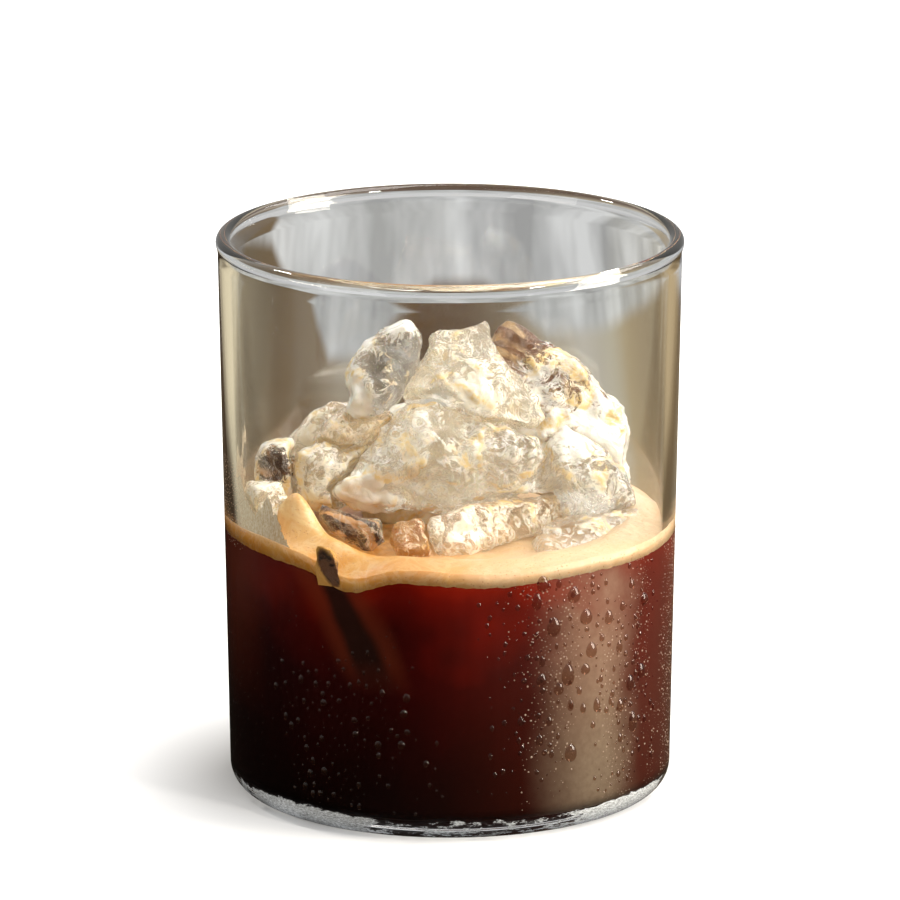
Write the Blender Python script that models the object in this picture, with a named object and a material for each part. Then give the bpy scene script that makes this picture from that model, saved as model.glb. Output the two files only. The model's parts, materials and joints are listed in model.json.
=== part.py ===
"""Iced espresso in a plain tumbler: glass, coffee, crema and a heap of clear ice lumps.

Metres, +Z up. The origin is the middle of the glass's foot. The viewer stands at -Y.
"""

import math
import random

import bmesh
import bpy
from mathutils import Matrix, Vector, noise

MM = 0.001

# The tumbler
GLASS_HEIGHT = 97.0 * MM
RIM_RADIUS = 40.0 * MM
WALL_TOP_RADIUS = 39.7 * MM
FOOT_RADIUS = 38.0 * MM
WALL = 2.2 * MM
RIM_THICKNESS = 2.6 * MM
HEEL_RADIUS = 4.0 * MM
FLOOR_HEIGHT = 3.4 * MM
FLOOR_CORNER = 2.2 * MM
RECESS_RADIUS = 27.0 * MM
RECESS_DEPTH = 0.8 * MM
RECESS_SLOPE = 1.5 * MM
TURN_STEPS = 48

# The drink
FIT_GAP = 0.3 * MM
COFFEE_LEVEL = 45.3 * MM
CREMA_EDGE_THICKNESS = 2.3 * MM
POOL_SKIN = 0.9 * MM
LIP_RADIUS = 31.2 * MM
LIP_WIDTH = 3.6 * MM
LIP_RISE = 1.1 * MM
DRINK_RINGS = (0.0, 0.40, 0.60, 0.72, 0.80, 0.86, 0.93, 1.0)

# The ice
ICE_GAP = 0.42 * MM
BOXINESS = 0.62
ROUGHNESS_SCALE = 0.16
ROUGHNESS_SHIFTS = ((0.0, 0.0, 0.0), (17.3, 4.1, 9.7), (5.9, 23.6, 12.2))
LUMP_RINGS = {
    5: (-74.0, -40.0, 0.0, 40.0, 74.0),
    7: (-80.0, -58.0, -30.0, 0.0, 30.0, 58.0, 80.0),
}

# The viewer looks down at the drink this steeply, at this height
SIGHT_PITCH = 15.2
SIGHT_LEVEL = 45.0 * MM


def clear_scene():
    for obj in list(bpy.data.objects):
        bpy.data.objects.remove(obj)


def material(name, colour, roughness, transmission=0.0, ior=1.45):
    made = bpy.data.materials.new(name)
    made.use_nodes = True
    shader = made.node_tree.nodes["Principled BSDF"]
    shader.inputs["Base Color"].default_value = (*colour, 1.0)
    shader.inputs["Roughness"].default_value = roughness
    shader.inputs["Metallic"].default_value = 0.0
    shader.inputs["Transmission Weight"].default_value = transmission
    shader.inputs["IOR"].default_value = ior
    return made


def new_object(name, bm, finish):
    """Closes off a bmesh as a named object with its faces pointing out."""
    bmesh.ops.recalc_face_normals(bm, faces=bm.faces)
    mesh = bpy.data.meshes.new(name)
    bm.to_mesh(mesh)
    bm.free()
    mesh.materials.append(finish)
    mesh.shade_smooth()
    mesh.set_sharp_from_angle(angle=math.radians(35))
    obj = bpy.data.objects.new(name, mesh)
    bpy.context.scene.collection.objects.link(obj)
    return obj


def arc(centre, radius, start, end, steps):
    """Points of a round stretch of a profile, angles in degrees from +X."""
    points = []
    for k in range(steps + 1):
        angle = math.radians(start + (end - start) * k / steps)
        points.append((centre[0] + radius * math.cos(angle), centre[1] + radius * math.sin(angle)))
    return points


def wall_radius(height):
    """Outer radius of the slightly tapered wall at a height."""
    return FOOT_RADIUS + (WALL_TOP_RADIUS - FOOT_RADIUS) * height / GLASS_HEIGHT


def bore_radius(height):
    return wall_radius(height) - WALL


def turned(name, profile, finish):
    """A solid of revolution from a profile that starts and ends on the axis."""
    bm = bmesh.new()
    corners = [bm.verts.new((radius, 0.0, height)) for radius, height in profile]
    edges = [bm.edges.new(pair) for pair in zip(corners, corners[1:])]
    bmesh.ops.spin(
        bm,
        geom=corners + edges,
        cent=(0.0, 0.0, 0.0),
        axis=(0.0, 0.0, 1.0),
        angle=math.tau,
        steps=TURN_STEPS,
        use_merge=True,
        use_duplicate=False,
    )
    bmesh.ops.remove_doubles(bm, verts=bm.verts, dist=0.01 * MM)
    return new_object(name, bm, finish)


def glass(finish):
    """The tumbler: recessed foot, round heel, thin wall and a fire-polished rim bead."""
    bead = RIM_THICKNESS / 2
    heel = (wall_radius(HEEL_RADIUS) - HEEL_RADIUS, HEEL_RADIUS)
    bead_centre = (RIM_RADIUS - bead, GLASS_HEIGHT - bead)
    corner_height = FLOOR_HEIGHT + FLOOR_CORNER
    corner = (bore_radius(corner_height) - FLOOR_CORNER, corner_height)
    profile = [(0.0, RECESS_DEPTH), (RECESS_RADIUS, RECESS_DEPTH), (RECESS_RADIUS + RECESS_SLOPE, 0.0)]
    profile += arc(heel, HEEL_RADIUS, -90, 0, 4)
    profile += arc(bead_centre, bead, -35, 215, 8)
    profile += arc(corner, FLOOR_CORNER, 0, -90, 3)
    profile.append((0.0, FLOOR_HEIGHT))
    return turned("glass", profile, finish)


def bell(distance, width):
    return math.exp(-((distance / width) ** 2))


def angle_between(a, b):
    return abs((a - b + math.pi) % math.tau - math.pi)


def coffee_top(x, y):
    """Height of the coffee's surface: level, with the wave where foam and ice press it down at the wall."""
    around = math.atan2(y, x)
    near_wall = min(1.0, math.hypot(x, y) / bore_radius(COFFEE_LEVEL)) ** 6
    dip = 2.7 * MM * bell(angle_between(around, math.radians(-117)), math.radians(8.5))
    sag = 0.9 * MM * bell(angle_between(around, math.radians(-78)), math.radians(16))
    rise = 1.1 * MM * bell(angle_between(around, math.radians(-160)), math.radians(26))
    swell = 0.5 * MM * math.sin(3.0 * around + 0.6) * (1.0 - bell(around + math.pi / 2, 1.2))
    return COFFEE_LEVEL + near_wall * (rise + swell - dip - sag)


def crema_top(x, y):
    """Height of the foam: a thin skin inside a raised lip, which climbs in folds over the ice at the left."""
    out = math.hypot(x, y)
    around = math.atan2(y, x)
    edge = bore_radius(COFFEE_LEVEL) - FIT_GAP
    toward_wall = min(1.0, max(0.0, (out - LIP_RADIUS * 0.72) / (edge - LIP_RADIUS * 0.72)))
    toward_wall *= toward_wall * (3.0 - 2.0 * toward_wall)
    skin = POOL_SKIN + (CREMA_EDGE_THICKNESS - POOL_SKIN) * toward_wall
    crest = LIP_RISE
    for degrees, spread, height in CREMA_FOLDS:
        crest += height * MM * bell(angle_between(around, math.radians(degrees)), math.radians(spread))
    lip = crest * bell(out - LIP_RADIUS, LIP_WIDTH)
    ripple = 0.25 * MM * math.sin(9.0 * around + 180.0 * out) * (1.0 - toward_wall)
    return coffee_top(x, y) + skin + lip + ripple


# Where each fold of the lip stands round the glass and how far it spreads, in degrees, and its
# height over the lip in millimetres
CREMA_FOLDS = (
    (-127.0, 11.0, 1.6),
    (-145.0, 8.5, 7.2),
    (-163.0, 11.0, 2.6),
    (-65.0, 12.0, -0.5),
    (2.0, 22.0, 1.9),
    (50.0, 26.0, 1.6),
    (110.0, 24.0, 2.2),
    (168.0, 18.0, 1.8),
)


def layered_disc(name, low, high, rings, finish):
    """A disc between two height functions of (x, y), stacked in rings that share their angles."""
    bm = bmesh.new()
    sheets = []
    for surface in (low, high):
        sheet = []
        for share in rings:
            count = TURN_STEPS if share > 0 else 1
            ring = []
            for k in range(count):
                angle = math.tau * k / count
                radius = share * (bore_radius(COFFEE_LEVEL) - FIT_GAP)
                x, y = radius * math.cos(angle), radius * math.sin(angle)
                ring.append(bm.verts.new((x, y, surface(x, y))))
            sheet.append(ring)
        sheets.append(sheet)
    for sheet in sheets:
        for inner, outer in zip(sheet, sheet[1:]):
            for k in range(TURN_STEPS):
                after = (k + 1) % TURN_STEPS
                if len(inner) == 1:
                    bm.faces.new((inner[0], outer[k], outer[after]))
                else:
                    bm.faces.new((inner[k], outer[k], outer[after], inner[after]))
    bottom, top = sheets[0][-1], sheets[1][-1]
    for k in range(TURN_STEPS):
        after = (k + 1) % TURN_STEPS
        bm.faces.new((bottom[k], bottom[after], top[after], top[k]))
    bmesh.ops.triangulate(bm, faces=bm.faces)
    return new_object(name, bm, finish)


def crema(finish):
    return layered_disc("crema", lambda x, y: coffee_top(x, y) + FIT_GAP, crema_top, DRINK_RINGS, finish)


def coffee(finish):
    """The coffee fills the bore from the floor's rounded corner up to the wavy line under the foam."""
    floor = FLOOR_HEIGHT + FIT_GAP
    corner = FLOOR_CORNER
    centre_height = floor + corner
    radius = bore_radius(centre_height) - FIT_GAP - corner
    profile = [(0.0, floor)] + arc((radius, centre_height), corner, -90, 0, 3)
    bm = bmesh.new()
    sheets = []
    for share in DRINK_RINGS:
        reach = share * (bore_radius(COFFEE_LEVEL) - FIT_GAP)
        ring = []
        for k in range(TURN_STEPS if share > 0 else 1):
            angle = math.tau * k / TURN_STEPS
            x, y = reach * math.cos(angle), reach * math.sin(angle)
            ring.append(bm.verts.new((x, y, coffee_top(x, y))))
        sheets.append(ring)
    for reach, height in reversed(profile):
        ring = []
        for k in range(TURN_STEPS if reach > 0 else 1):
            angle = math.tau * k / TURN_STEPS
            ring.append(bm.verts.new((reach * math.cos(angle), reach * math.sin(angle), height)))
        sheets.append(ring)
    for first, second in zip(sheets, sheets[1:]):
        for k in range(TURN_STEPS):
            after = (k + 1) % TURN_STEPS
            if len(first) == 1:
                bm.faces.new((first[0], second[k], second[after]))
            elif len(second) == 1:
                bm.faces.new((first[k], first[after], second[0]))
            else:
                bm.faces.new((first[k], first[after], second[after], second[k]))
    bmesh.ops.triangulate(bm, faces=bm.faces)
    return new_object("coffee", bm, finish)


def sight_frame(lump):
    """The lump's own axes: across, up its outline and away from the viewer, turned about the upright."""
    yaw = Matrix.Rotation(math.radians(lump.get("yaw", 0.0)), 3, "Z")
    lean = Matrix.Rotation(math.radians(lump.get("lean", SIGHT_PITCH)), 3, "X").inverted()
    return yaw @ lean


def sight_place(across, up, away):
    """A point given as the viewer sees it, in millimetres from the middle of the drink's surface."""
    axes = sight_frame({})
    return Vector((0.0, 0.0, SIGHT_LEVEL)) + (axes @ Vector((across, away, up))) * MM


def rounded_outline(points, spacing):
    """A closed curve through the outline's points, with a point at least every so many millimetres."""
    curve = []
    count = len(points)
    for k in range(count):
        before, start, end, after = (Vector(points[(k + step) % count]) for step in (-1, 0, 1, 2))
        lead = (end - before) * 0.35
        trail = (after - start) * 0.35
        parts = max(1, round((end - start).length / spacing))
        for part in range(parts):
            t = part / parts
            blend = (2 * t ** 3 - 3 * t ** 2 + 1) * start + (t ** 3 - 2 * t ** 2 + t) * lead
            blend += (3 * t ** 2 - 2 * t ** 3) * end + (t ** 3 - t ** 2) * trail
            curve.append(blend)
    return curve


def roughness(place):
    """A wandering push at a place, the same each time the part is built."""
    reads = [noise.noise(place + Vector(shift)) for shift in ROUGHNESS_SHIFTS]
    return Vector((reads[0] * 0.4, reads[1] * 1.3, reads[2] * 0.4))


def break_facets(bm, lump):
    """Flattens the broken faces: all that stands out past each seeded plane is pressed onto it."""
    draw = random.Random(lump["seed"])
    wide, deep, tall = (max(abs(vert.co[axis]) for vert in bm.verts) for axis in range(3))
    for _ in range(lump.get("facets", 6)):
        turn = draw.uniform(0.0, math.tau)
        steep = math.radians(draw.uniform(18.0, 50.0))
        side = -1.0 if draw.random() < 0.7 else 1.0
        across, up = math.cos(turn) * math.sin(steep), math.sin(turn) * math.sin(steep)
        normal = Vector((across / wide, side * math.cos(steep) / deep, up / tall)).normalized()
        reach = max(normal.dot(vert.co) for vert in bm.verts) * draw.uniform(0.68, 0.86)
        for vert in bm.verts:
            past = normal.dot(vert.co) - reach
            if past > 0.0:
                vert.co -= normal * past * 0.92


def lump_object(name, lump, grow, finish):
    """One ice lump, or its cutter when it is grown by the gap that neighbours keep to it."""
    outline = rounded_outline(lump["outline"], lump.get("spacing", 3.4))
    centre = sum(outline, Vector((0.0, 0.0))) / len(outline)
    front, back = lump["thick"]
    bm = bmesh.new()
    rings = []
    for angle in LUMP_RINGS[lump.get("rings", 5)]:
        shrink = math.cos(math.radians(angle)) ** BOXINESS
        depth = math.copysign(abs(math.sin(math.radians(angle))) ** BOXINESS, angle)
        depth *= front if angle < 0 else back
        slide = Vector(lump.get("slide", (0.0, 0.0))) * depth
        ring = []
        for point in outline:
            place = (point - centre) * shrink + slide
            ring.append(bm.verts.new((place.x, depth, place.y)))
        rings.append(ring)
    ends = [bm.verts.new((0.0, -front * 1.02, 0.0)), bm.verts.new((0.0, back * 1.02, 0.0))]
    count = len(outline)
    for k in range(count):
        after = (k + 1) % count
        for first, second in zip(rings, rings[1:]):
            bm.faces.new((first[k], first[after], second[after], second[k]))
        bm.faces.new((ends[0], rings[0][after], rings[0][k]))
        bm.faces.new((ends[1], rings[-1][k], rings[-1][after]))
    offset = Vector((lump["seed"] * 3.1, lump["seed"] * 1.7, lump["seed"] * 0.9))
    for vert in bm.verts:
        vert.co += roughness(vert.co * ROUGHNESS_SCALE + offset) * lump.get("rough", 1.0)
    break_facets(bm, lump)
    for across, up, width, depth in lump.get("dents", ()):
        for vert in bm.verts:
            if vert.co.y < 0.0:
                spot = math.hypot(vert.co.x + centre.x - across, vert.co.z + centre.y - up)
                vert.co.y += depth * bell(spot, width)
    bmesh.ops.triangulate(bm, faces=bm.faces)
    bmesh.ops.recalc_face_normals(bm, faces=bm.faces)
    axes = sight_frame(lump)
    place = sight_place(*lump.get("at", centre), lump["away"])
    for vert in bm.verts:
        vert.co = place + (axes @ vert.co) * MM
    bm.normal_update()
    pushes = [(vert, vert.normal * grow) for vert in bm.verts]
    for vert, push in pushes:
        vert.co += push
    return new_object(name, bm, finish)


# Each lump's outline as the viewer sees it, in millimetres across and up from the middle of the
# drink's surface, then how far away its middle lies along the sight line and how thick it is there.
# The first in the list are seen whole, and each later one makes way for them.
LUMPS = {
    "ice_wedge": {
        "outline": (
            (-25.5, 3.0), (-22.5, -4.2), (-14.0, -3.6), (0.0, -2.4), (14.0, -2.2), (25.0, -1.0), (20.0, 1.4), (8.0, 3.4),
            (-6.0, 5.0), (-18.0, 5.8), (-24.5, 5.0),
        ),
        "thick": (4.5, 5.5), "away": -7.5, "yaw": 45.0, "at": (13.5, 1.8), "seed": 12, "rough": 0.6, "facets": 3,
    },
    "ice_front_slab": {
        "outline": (
            (-10.0, 20.0), (-13.0, 16.0), (-17.2, 9.8), (-21.2, 6.2), (-20.4, 3.8), (-14.7, 2.2), (-5.0, 2.4), (3.4, 0.9),
            (12.1, 2.1), (14.0, 6.4), (17.1, 12.5), (15.6, 15.8), (8.6, 18.6), (1.0, 21.8), (-5.0, 22.4),
        ),
        "thick": (8.5, 7.0), "away": -9.0, "seed": 3, "facets": 9, "rings": 7, "spacing": 2.9,
        "dents": ((-8.0, 6.0, 6.0, 2.6), (4.0, 19.0, 6.0, 2.0)),
    },
    "ice_crown_left": {
        "outline": (
            (-6.6, 36.6), (-11.9, 34.3), (-16.7, 30.2), (-18.4, 26.0), (-17.3, 22.2), (-18.1, 20.0), (-16.6, 18.2),
            (-11.2, 19.2), (-7.6, 22.8), (-4.6, 28.8), (-4.2, 33.4),
        ),
        "thick": (5.5, 5.5), "away": -8.0, "seed": 5, "facets": 4, "spacing": 2.9,
        "dents": ((-8.5, 28.0, 5.0, 3.0),),
    },
    "ice_crown_middle": {
        "outline": (
            (6.6, 36.6), (3.2, 35.0), (-3.6, 34.2), (-4.6, 30.9), (-7.8, 27.2), (-8.8, 22.0), (-5.0, 17.0), (1.7, 14.1),
            (12.6, 15.8), (16.9, 18.8), (15.4, 22.2), (12.1, 26.7), (8.2, 31.2), (7.6, 34.6),
        ),
        "thick": (8.0, 7.5), "away": -7.0, "seed": 8, "facets": 8, "rings": 7, "spacing": 2.9,
    },
    "ice_right": {
        "outline": (
            (16.0, 15.0), (19.8, 18.4), (24.1, 15.9), (27.4, 14.0), (30.0, 11.0), (32.4, 6.6), (32.3, 3.8), (25.9, 1.2),
            (18.0, 0.8), (12.5, 3.0), (13.6, 8.0),
        ),
        "thick": (7.0, 7.0), "away": -4.5, "seed": 21, "facets": 6,
    },
    "ice_right_plate": {
        "outline": (
            (-16.0, -4.5), (-14.0, 1.0), (-4.0, 5.0), (6.0, 5.5), (13.0, 3.5), (14.5, -1.0), (9.0, -6.0), (1.0, -8.5),
            (-9.0, -7.6),
        ),
        "thick": (2.8, 2.8), "away": -12.0, "yaw": 42.0, "lean": 78.0, "at": (24.0, -1.0), "seed": 17, "rough": 0.7,
        "facets": 4,
    },
    "ice_left_block": {
        "outline": (
            (-26.6, 14.0), (-24.0, 15.0), (-20.7, 15.2), (-17.0, 14.2), (-12.5, 16.0), (-11.5, 10.0), (-14.0, 4.0),
            (-19.0, 2.6), (-25.5, 3.6), (-26.8, 9.0),
        ),
        "thick": (5.0, 6.0), "away": -7.0, "yaw": 20.0, "seed": 31,
    },
    "ice_left_amber": {
        "outline": (
            (-24.0, 15.0), (-22.0, 18.4), (-18.8, 21.4), (-14.0, 22.0), (-9.0, 20.0), (-10.0, 15.0), (-15.0, 11.0),
            (-21.0, 12.0),
        ),
        "thick": (6.0, 6.0), "away": -3.5, "seed": 36,
    },
    "ice_left_arch": {
        "outline": (
            (-32.6, 14.6), (-30.0, 15.6), (-26.5, 15.8), (-25.6, 10.0), (-26.4, 3.4), (-31.0, 2.6), (-33.6, 5.0),
            (-33.8, 11.6),
        ),
        "thick": (5.5, 6.0), "away": -6.5, "seed": 41, "dents": ((-30.0, 10.0, 2.4, 2.4),), "spacing": 2.6,
    },
    "ice_left_wall": {
        "outline": (
            (-35.6, 8.4), (-32.0, 8.6), (-28.0, 8.2), (-26.6, 5.0), (-27.0, 0.6), (-29.6, -1.6), (-33.2, -1.2), (-35.4, 3.0),
        ),
        "thick": (5.0, 6.0), "away": -16.5, "seed": 44, "rough": 0.7,
    },
    "ice_left_back": {
        "outline": (
            (-29.0, 15.0), (-27.4, 17.6), (-24.6, 20.8), (-20.7, 22.8), (-17.0, 22.2), (-14.0, 18.0), (-16.0, 4.0),
            (-26.0, 3.0), (-30.0, 8.0),
        ),
        "thick": (6.5, 7.5), "away": 5.0, "seed": 52,
    },
    "ice_back_right": {
        "outline": (
            (7.6, 35.6), (9.6, 37.0), (12.4, 36.6), (16.4, 32.9), (22.8, 30.4), (27.1, 25.2), (31.2, 21.6), (32.6, 17.0),
            (31.9, 11.6), (32.7, 7.0), (26.0, 3.0), (12.0, 6.0), (5.0, 18.0), (4.6, 28.0),
        ),
        "thick": (9.0, 10.0), "away": 5.0, "seed": 60, "facets": 9, "rings": 7, "spacing": 3.2,
    },
    "ice_front_shard": {
        "outline": ((-9.6, 1.0), (-5.0, 2.0), (-2.6, 0.0), (-0.4, -3.6), (-2.0, -6.4), (-6.0, -7.2), (-9.4, -5.2), (-10.6, -1.4)),
        "thick": (4.0, 5.0), "away": -21.0, "seed": 71, "rough": 0.6,
    },
    "ice_left_shard": {
        "outline": (
            (-21.6, 4.6), (-16.0, 2.6), (-11.4, 1.6), (-10.6, -2.6), (-13.0, -4.6), (-17.6, -2.4), (-20.8, 0.0), (-22.4, 2.8),
        ),
        "thick": (4.0, 5.0), "away": -18.5, "seed": 74, "rough": 0.6,
    },
    "ice_wall_blade": {
        "outline": (
            (-21.4, -2.4), (-19.0, -2.6), (-17.4, -9.0), (-14.6, -17.0), (-11.4, -25.0), (-12.6, -28.0), (-16.6, -22.0),
            (-20.4, -13.0), (-22.2, -7.0),
        ),
        "thick": (4.0, 3.0), "away": -29.4, "seed": 77, "rough": 0.4, "facets": 2,
    },
    "ice_core": {
        "outline": (
            (-15.0, 14.0), (-8.0, 17.6), (4.0, 17.0), (12.0, 13.0), (13.0, 4.0), (8.0, -2.0), (-6.0, -3.0), (-15.0, 0.0),
            (-17.0, 7.0),
        ),
        "thick": (8.0, 9.0), "away": 3.0, "seed": 83, "spacing": 4.0,
    },
    "ice_back": {
        "outline": (
            (-13.0, 20.0), (-6.0, 23.5), (3.0, 21.0), (6.5, 12.0), (3.0, 3.0), (-8.0, 1.0), (-16.0, 5.0), (-17.0, 13.0),
        ),
        "thick": (6.5, 7.5), "away": 15.0, "seed": 91, "spacing": 4.0,
    },
}


def apply_modifiers(obj):
    graph = bpy.context.evaluated_depsgraph_get()
    made = bpy.data.meshes.new_from_object(obj.evaluated_get(graph))
    obj.modifiers.clear()
    obj.data = made


def keep_largest(obj):
    """Drops the loose scraps that a cut leaves."""
    bm = bmesh.new()
    bm.from_mesh(obj.data)
    unseen = set(bm.verts)
    pieces = []
    while unseen:
        start = unseen.pop()
        piece, edge = {start}, [start]
        while edge:
            for link in edge.pop().link_edges:
                for vert in link.verts:
                    if vert in unseen:
                        unseen.discard(vert)
                        piece.add(vert)
                        edge.append(vert)
        pieces.append(piece)
    largest = max(pieces, key=len)
    bmesh.ops.delete(bm, geom=[v for p in pieces if p is not largest for v in p], context="VERTS")
    bm.to_mesh(obj.data)
    bm.free()


def boxes_meet(a, b):
    """Whether the bounding boxes of two objects overlap."""
    for axis in range(3):
        spans = [[corner[axis] for corner in obj.bound_box] for obj in (a, b)]
        if max(spans[0]) < min(spans[1]) or max(spans[1]) < min(spans[0]):
            return False
    return True


def carve(obj, cutters):
    """Cuts the grown neighbours out of a piece, one after another."""
    for cutter in cutters:
        bpy.context.view_layer.update()
        if not boxes_meet(obj, cutter):
            continue
        cut = obj.modifiers.new("clear_of_" + cutter.name, "BOOLEAN")
        cut.operation = "DIFFERENCE"
        cut.solver = "EXACT"
        cut.use_self = True
        cut.object = cutter
        apply_modifiers(obj)
        if not obj.data.polygons:
            raise RuntimeError(cutter.name + " leaves nothing of " + obj.name)
    keep_largest(obj)


def bore_cutter(finish):
    """A sleeve that trims ice lumps to the inside of the glass."""
    gap = FIT_GAP
    bottom, top = FLOOR_HEIGHT + gap, GLASS_HEIGHT + 5 * MM
    outer = RIM_RADIUS + 20 * MM
    bm = bmesh.new()
    rings = []
    for radius, height in (
        (bore_radius(bottom) - gap, bottom), (outer, bottom), (outer, top), (bore_radius(top) - gap, top)
    ):
        ring = []
        for k in range(TURN_STEPS):
            angle = math.tau * k / TURN_STEPS
            ring.append(bm.verts.new((radius * math.cos(angle), radius * math.sin(angle), height)))
        rings.append(ring)
    for first, second in zip(rings, rings[1:] + rings[:1]):
        for k in range(TURN_STEPS):
            after = (k + 1) % TURN_STEPS
            bm.faces.new((first[k], first[after], second[after], second[k]))
    return new_object("bore_cutter", bm, finish)


def main():
    clear_scene()
    clear_glass = material("clear_glass", (0.95, 0.97, 0.97), 0.02, transmission=1.0, ior=1.5)
    espresso = material("espresso", (0.035, 0.008, 0.004), 0.08)
    foam = material("crema_foam", (0.72, 0.46, 0.20), 0.55)
    clear_ice = material("clear_ice", (0.96, 0.93, 0.86), 0.06, transmission=0.85, ior=1.31)

    glass(clear_glass)
    sleeve = bore_cutter(clear_glass)
    cutters = []
    for name, lump in LUMPS.items():
        piece = lump_object(name, lump, 0.0, clear_ice)
        carve(piece, [sleeve] + cutters)
        cutters.append(lump_object("cutter_" + name, lump, ICE_GAP, clear_ice))
    carve(crema(foam), cutters)
    carve(coffee(espresso), cutters)
    for cutter in cutters + [sleeve]:
        bpy.data.objects.remove(cutter)


main()
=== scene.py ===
"""Iced espresso in a straight tumbler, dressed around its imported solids.

Metres, +Z up. The origin is the middle of the glass's foot and the viewer stands at -Y.
"""

import json
import math

import bmesh
import bpy
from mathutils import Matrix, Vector, noise

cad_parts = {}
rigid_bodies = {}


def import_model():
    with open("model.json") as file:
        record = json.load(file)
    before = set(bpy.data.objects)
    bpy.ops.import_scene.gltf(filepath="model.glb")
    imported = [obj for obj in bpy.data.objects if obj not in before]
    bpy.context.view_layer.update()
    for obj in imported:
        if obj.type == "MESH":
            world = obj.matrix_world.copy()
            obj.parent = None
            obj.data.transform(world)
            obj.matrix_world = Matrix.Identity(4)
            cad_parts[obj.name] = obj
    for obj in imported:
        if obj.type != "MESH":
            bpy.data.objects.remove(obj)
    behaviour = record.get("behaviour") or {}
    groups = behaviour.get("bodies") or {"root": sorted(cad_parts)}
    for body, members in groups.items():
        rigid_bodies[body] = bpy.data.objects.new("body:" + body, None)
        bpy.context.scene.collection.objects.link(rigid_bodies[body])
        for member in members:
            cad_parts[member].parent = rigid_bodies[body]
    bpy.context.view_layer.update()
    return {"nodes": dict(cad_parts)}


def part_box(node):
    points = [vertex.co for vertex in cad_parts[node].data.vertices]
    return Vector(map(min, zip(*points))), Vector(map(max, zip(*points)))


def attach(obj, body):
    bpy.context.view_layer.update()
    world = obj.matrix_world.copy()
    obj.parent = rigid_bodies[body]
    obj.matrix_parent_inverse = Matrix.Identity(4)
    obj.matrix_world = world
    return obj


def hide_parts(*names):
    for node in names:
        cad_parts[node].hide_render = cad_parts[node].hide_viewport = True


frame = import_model()

bl_info = {
    "name": "Iced espresso",
    "version": (1, 0, 0),
    "blender": (4, 5, 0),
    "location": "View3D > Sidebar > Iced espresso",
    "description": "Makes a tumbler of coffee, foam and broken ice",
    "category": "Add Mesh",
}

MM = 0.001
BODY = "root"

# The tumbler, as the solids have it
GLASS_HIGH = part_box("glass")[1]
GLASS_HEIGHT = GLASS_HIGH.z
RIM_RADIUS = GLASS_HIGH.x
WALL_TOP_RADIUS = RIM_RADIUS - 0.3 * MM
FOOT_RADIUS = RIM_RADIUS - 2.0 * MM
WALL = 2.2 * MM
RIM_THICKNESS = 2.6 * MM
HEEL_RADIUS = 4.0 * MM
FLOOR_HEIGHT = 3.4 * MM
FLOOR_CORNER = 2.2 * MM
RECESS_RADIUS = 27.0 * MM
RECESS_DEPTH = 0.8 * MM
RECESS_SLOPE = 1.5 * MM
FOOT_MIDDLE = (0.0, 0.0, 0.0)

# The drink, as the solids have it
COFFEE_LEVEL = 45.3 * MM
CREMA_EDGE_THICKNESS = 2.3 * MM
POOL_SKIN = 0.9 * MM
LIP_RADIUS = 31.2 * MM
LIP_WIDTH = 3.6 * MM
LIP_RISE = 1.1 * MM
POOL_EDGE = LIP_RADIUS * 0.72
# The waves of the coffee's line and the folds of the foam: the angle round the wall and the width in
# degrees, and the height in millimetres
COFFEE_WAVES = ((-160.0, 26.0, 1.1), (-117.0, 8.5, -2.7), (-78.0, 16.0, -0.9))
CREMA_FOLDS = (
    (-127.0, 11.0, 1.6),
    (-145.0, 8.5, 7.2),
    (-163.0, 11.0, 2.6),
    (-65.0, 12.0, -0.5),
    (2.0, 22.0, 1.9),
    (50.0, 26.0, 1.6),
    (110.0, 24.0, 2.2),
    (168.0, 18.0, 1.8),
)
# How far the drink reaches into the wall, so that no air shows between them
WALL_BITE = 0.25 * MM

# Marks on the drink: the soaked pool, whose brown stain carries a painted shadow under the ice, the plate
# that lies under the foam, and the oval in which the blade of ice shows in the foam, with its half width,
# its half height and its lean
POOL_MIDDLE = (-0.0125, -0.0140, 0.046)
PLATE_MIDDLE = (0.0250, -0.0095, 0.047)
OVAL_ACROSS, OVAL_UP = -0.0199, 0.0466
OVAL_HALF_WIDTH, OVAL_HALF_HEIGHT = 0.0019, 0.0038
OVAL_LEAN = 0.38
# The blade sinks into the coffee below this level, over this height
BLADE_LEVEL, BLADE_SINK = 0.0440, 0.004

# Height of the middle of the drink's surface, from which the spots on the ice are measured
SURFACE_HEIGHT = 0.045

# The photograph's camera
CAMERA_PITCH = math.radians(15.2)
CAMERA_DISTANCE = 1.3
CAMERA_AIM_HEIGHT = 0.045
CAMERA_AIM_TILT = math.radians(0.587)
CAMERA_LENS = 301.98
LAMP_AIM = Vector((0.0, 0.0, 0.05))

# The backdrop that the glass shows, a painted glow of the floor that only rays bent or mirrored by the glass
# see. Its near part runs across 20 cm to each side: the share of the way and the colour. It ends at a
# distance in metres that changes across the middle 20 cm, and grey streaks lie beyond it.
FLOOR_REACH = 4.0
NEAR_HALF_WIDTH, FAR_HALF_WIDTH = 0.20, 0.10
NEAR_BACKDROP = (
    (0.12, (0.74, 0.64, 0.44)),
    (0.18, (0.050, 0.032, 0.018)),
    (0.3175, (0.060, 0.038, 0.022)),
    (0.37, (0.140, 0.092, 0.052)),
    (0.40, (0.19, 0.135, 0.085)),
    (0.425, (0.36, 0.300, 0.230)),
    (0.448, (0.32, 0.260, 0.200)),
    (0.475, (0.10, 0.055, 0.032)),
    (0.512, (0.09, 0.048, 0.028)),
    (0.535, (0.17, 0.125, 0.085)),
    (0.565, (0.36, 0.300, 0.220)),
    (0.60, (0.55, 0.500, 0.430)),
    (0.63, (0.46, 0.410, 0.320)),
    (0.655, (0.37, 0.280, 0.160)),
    (0.69, (0.29, 0.210, 0.120)),
    (0.76, (0.15, 0.100, 0.052)),
    (0.85, (0.18, 0.120, 0.060)),
    (0.93, (0.50, 0.380, 0.220)),
)
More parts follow.
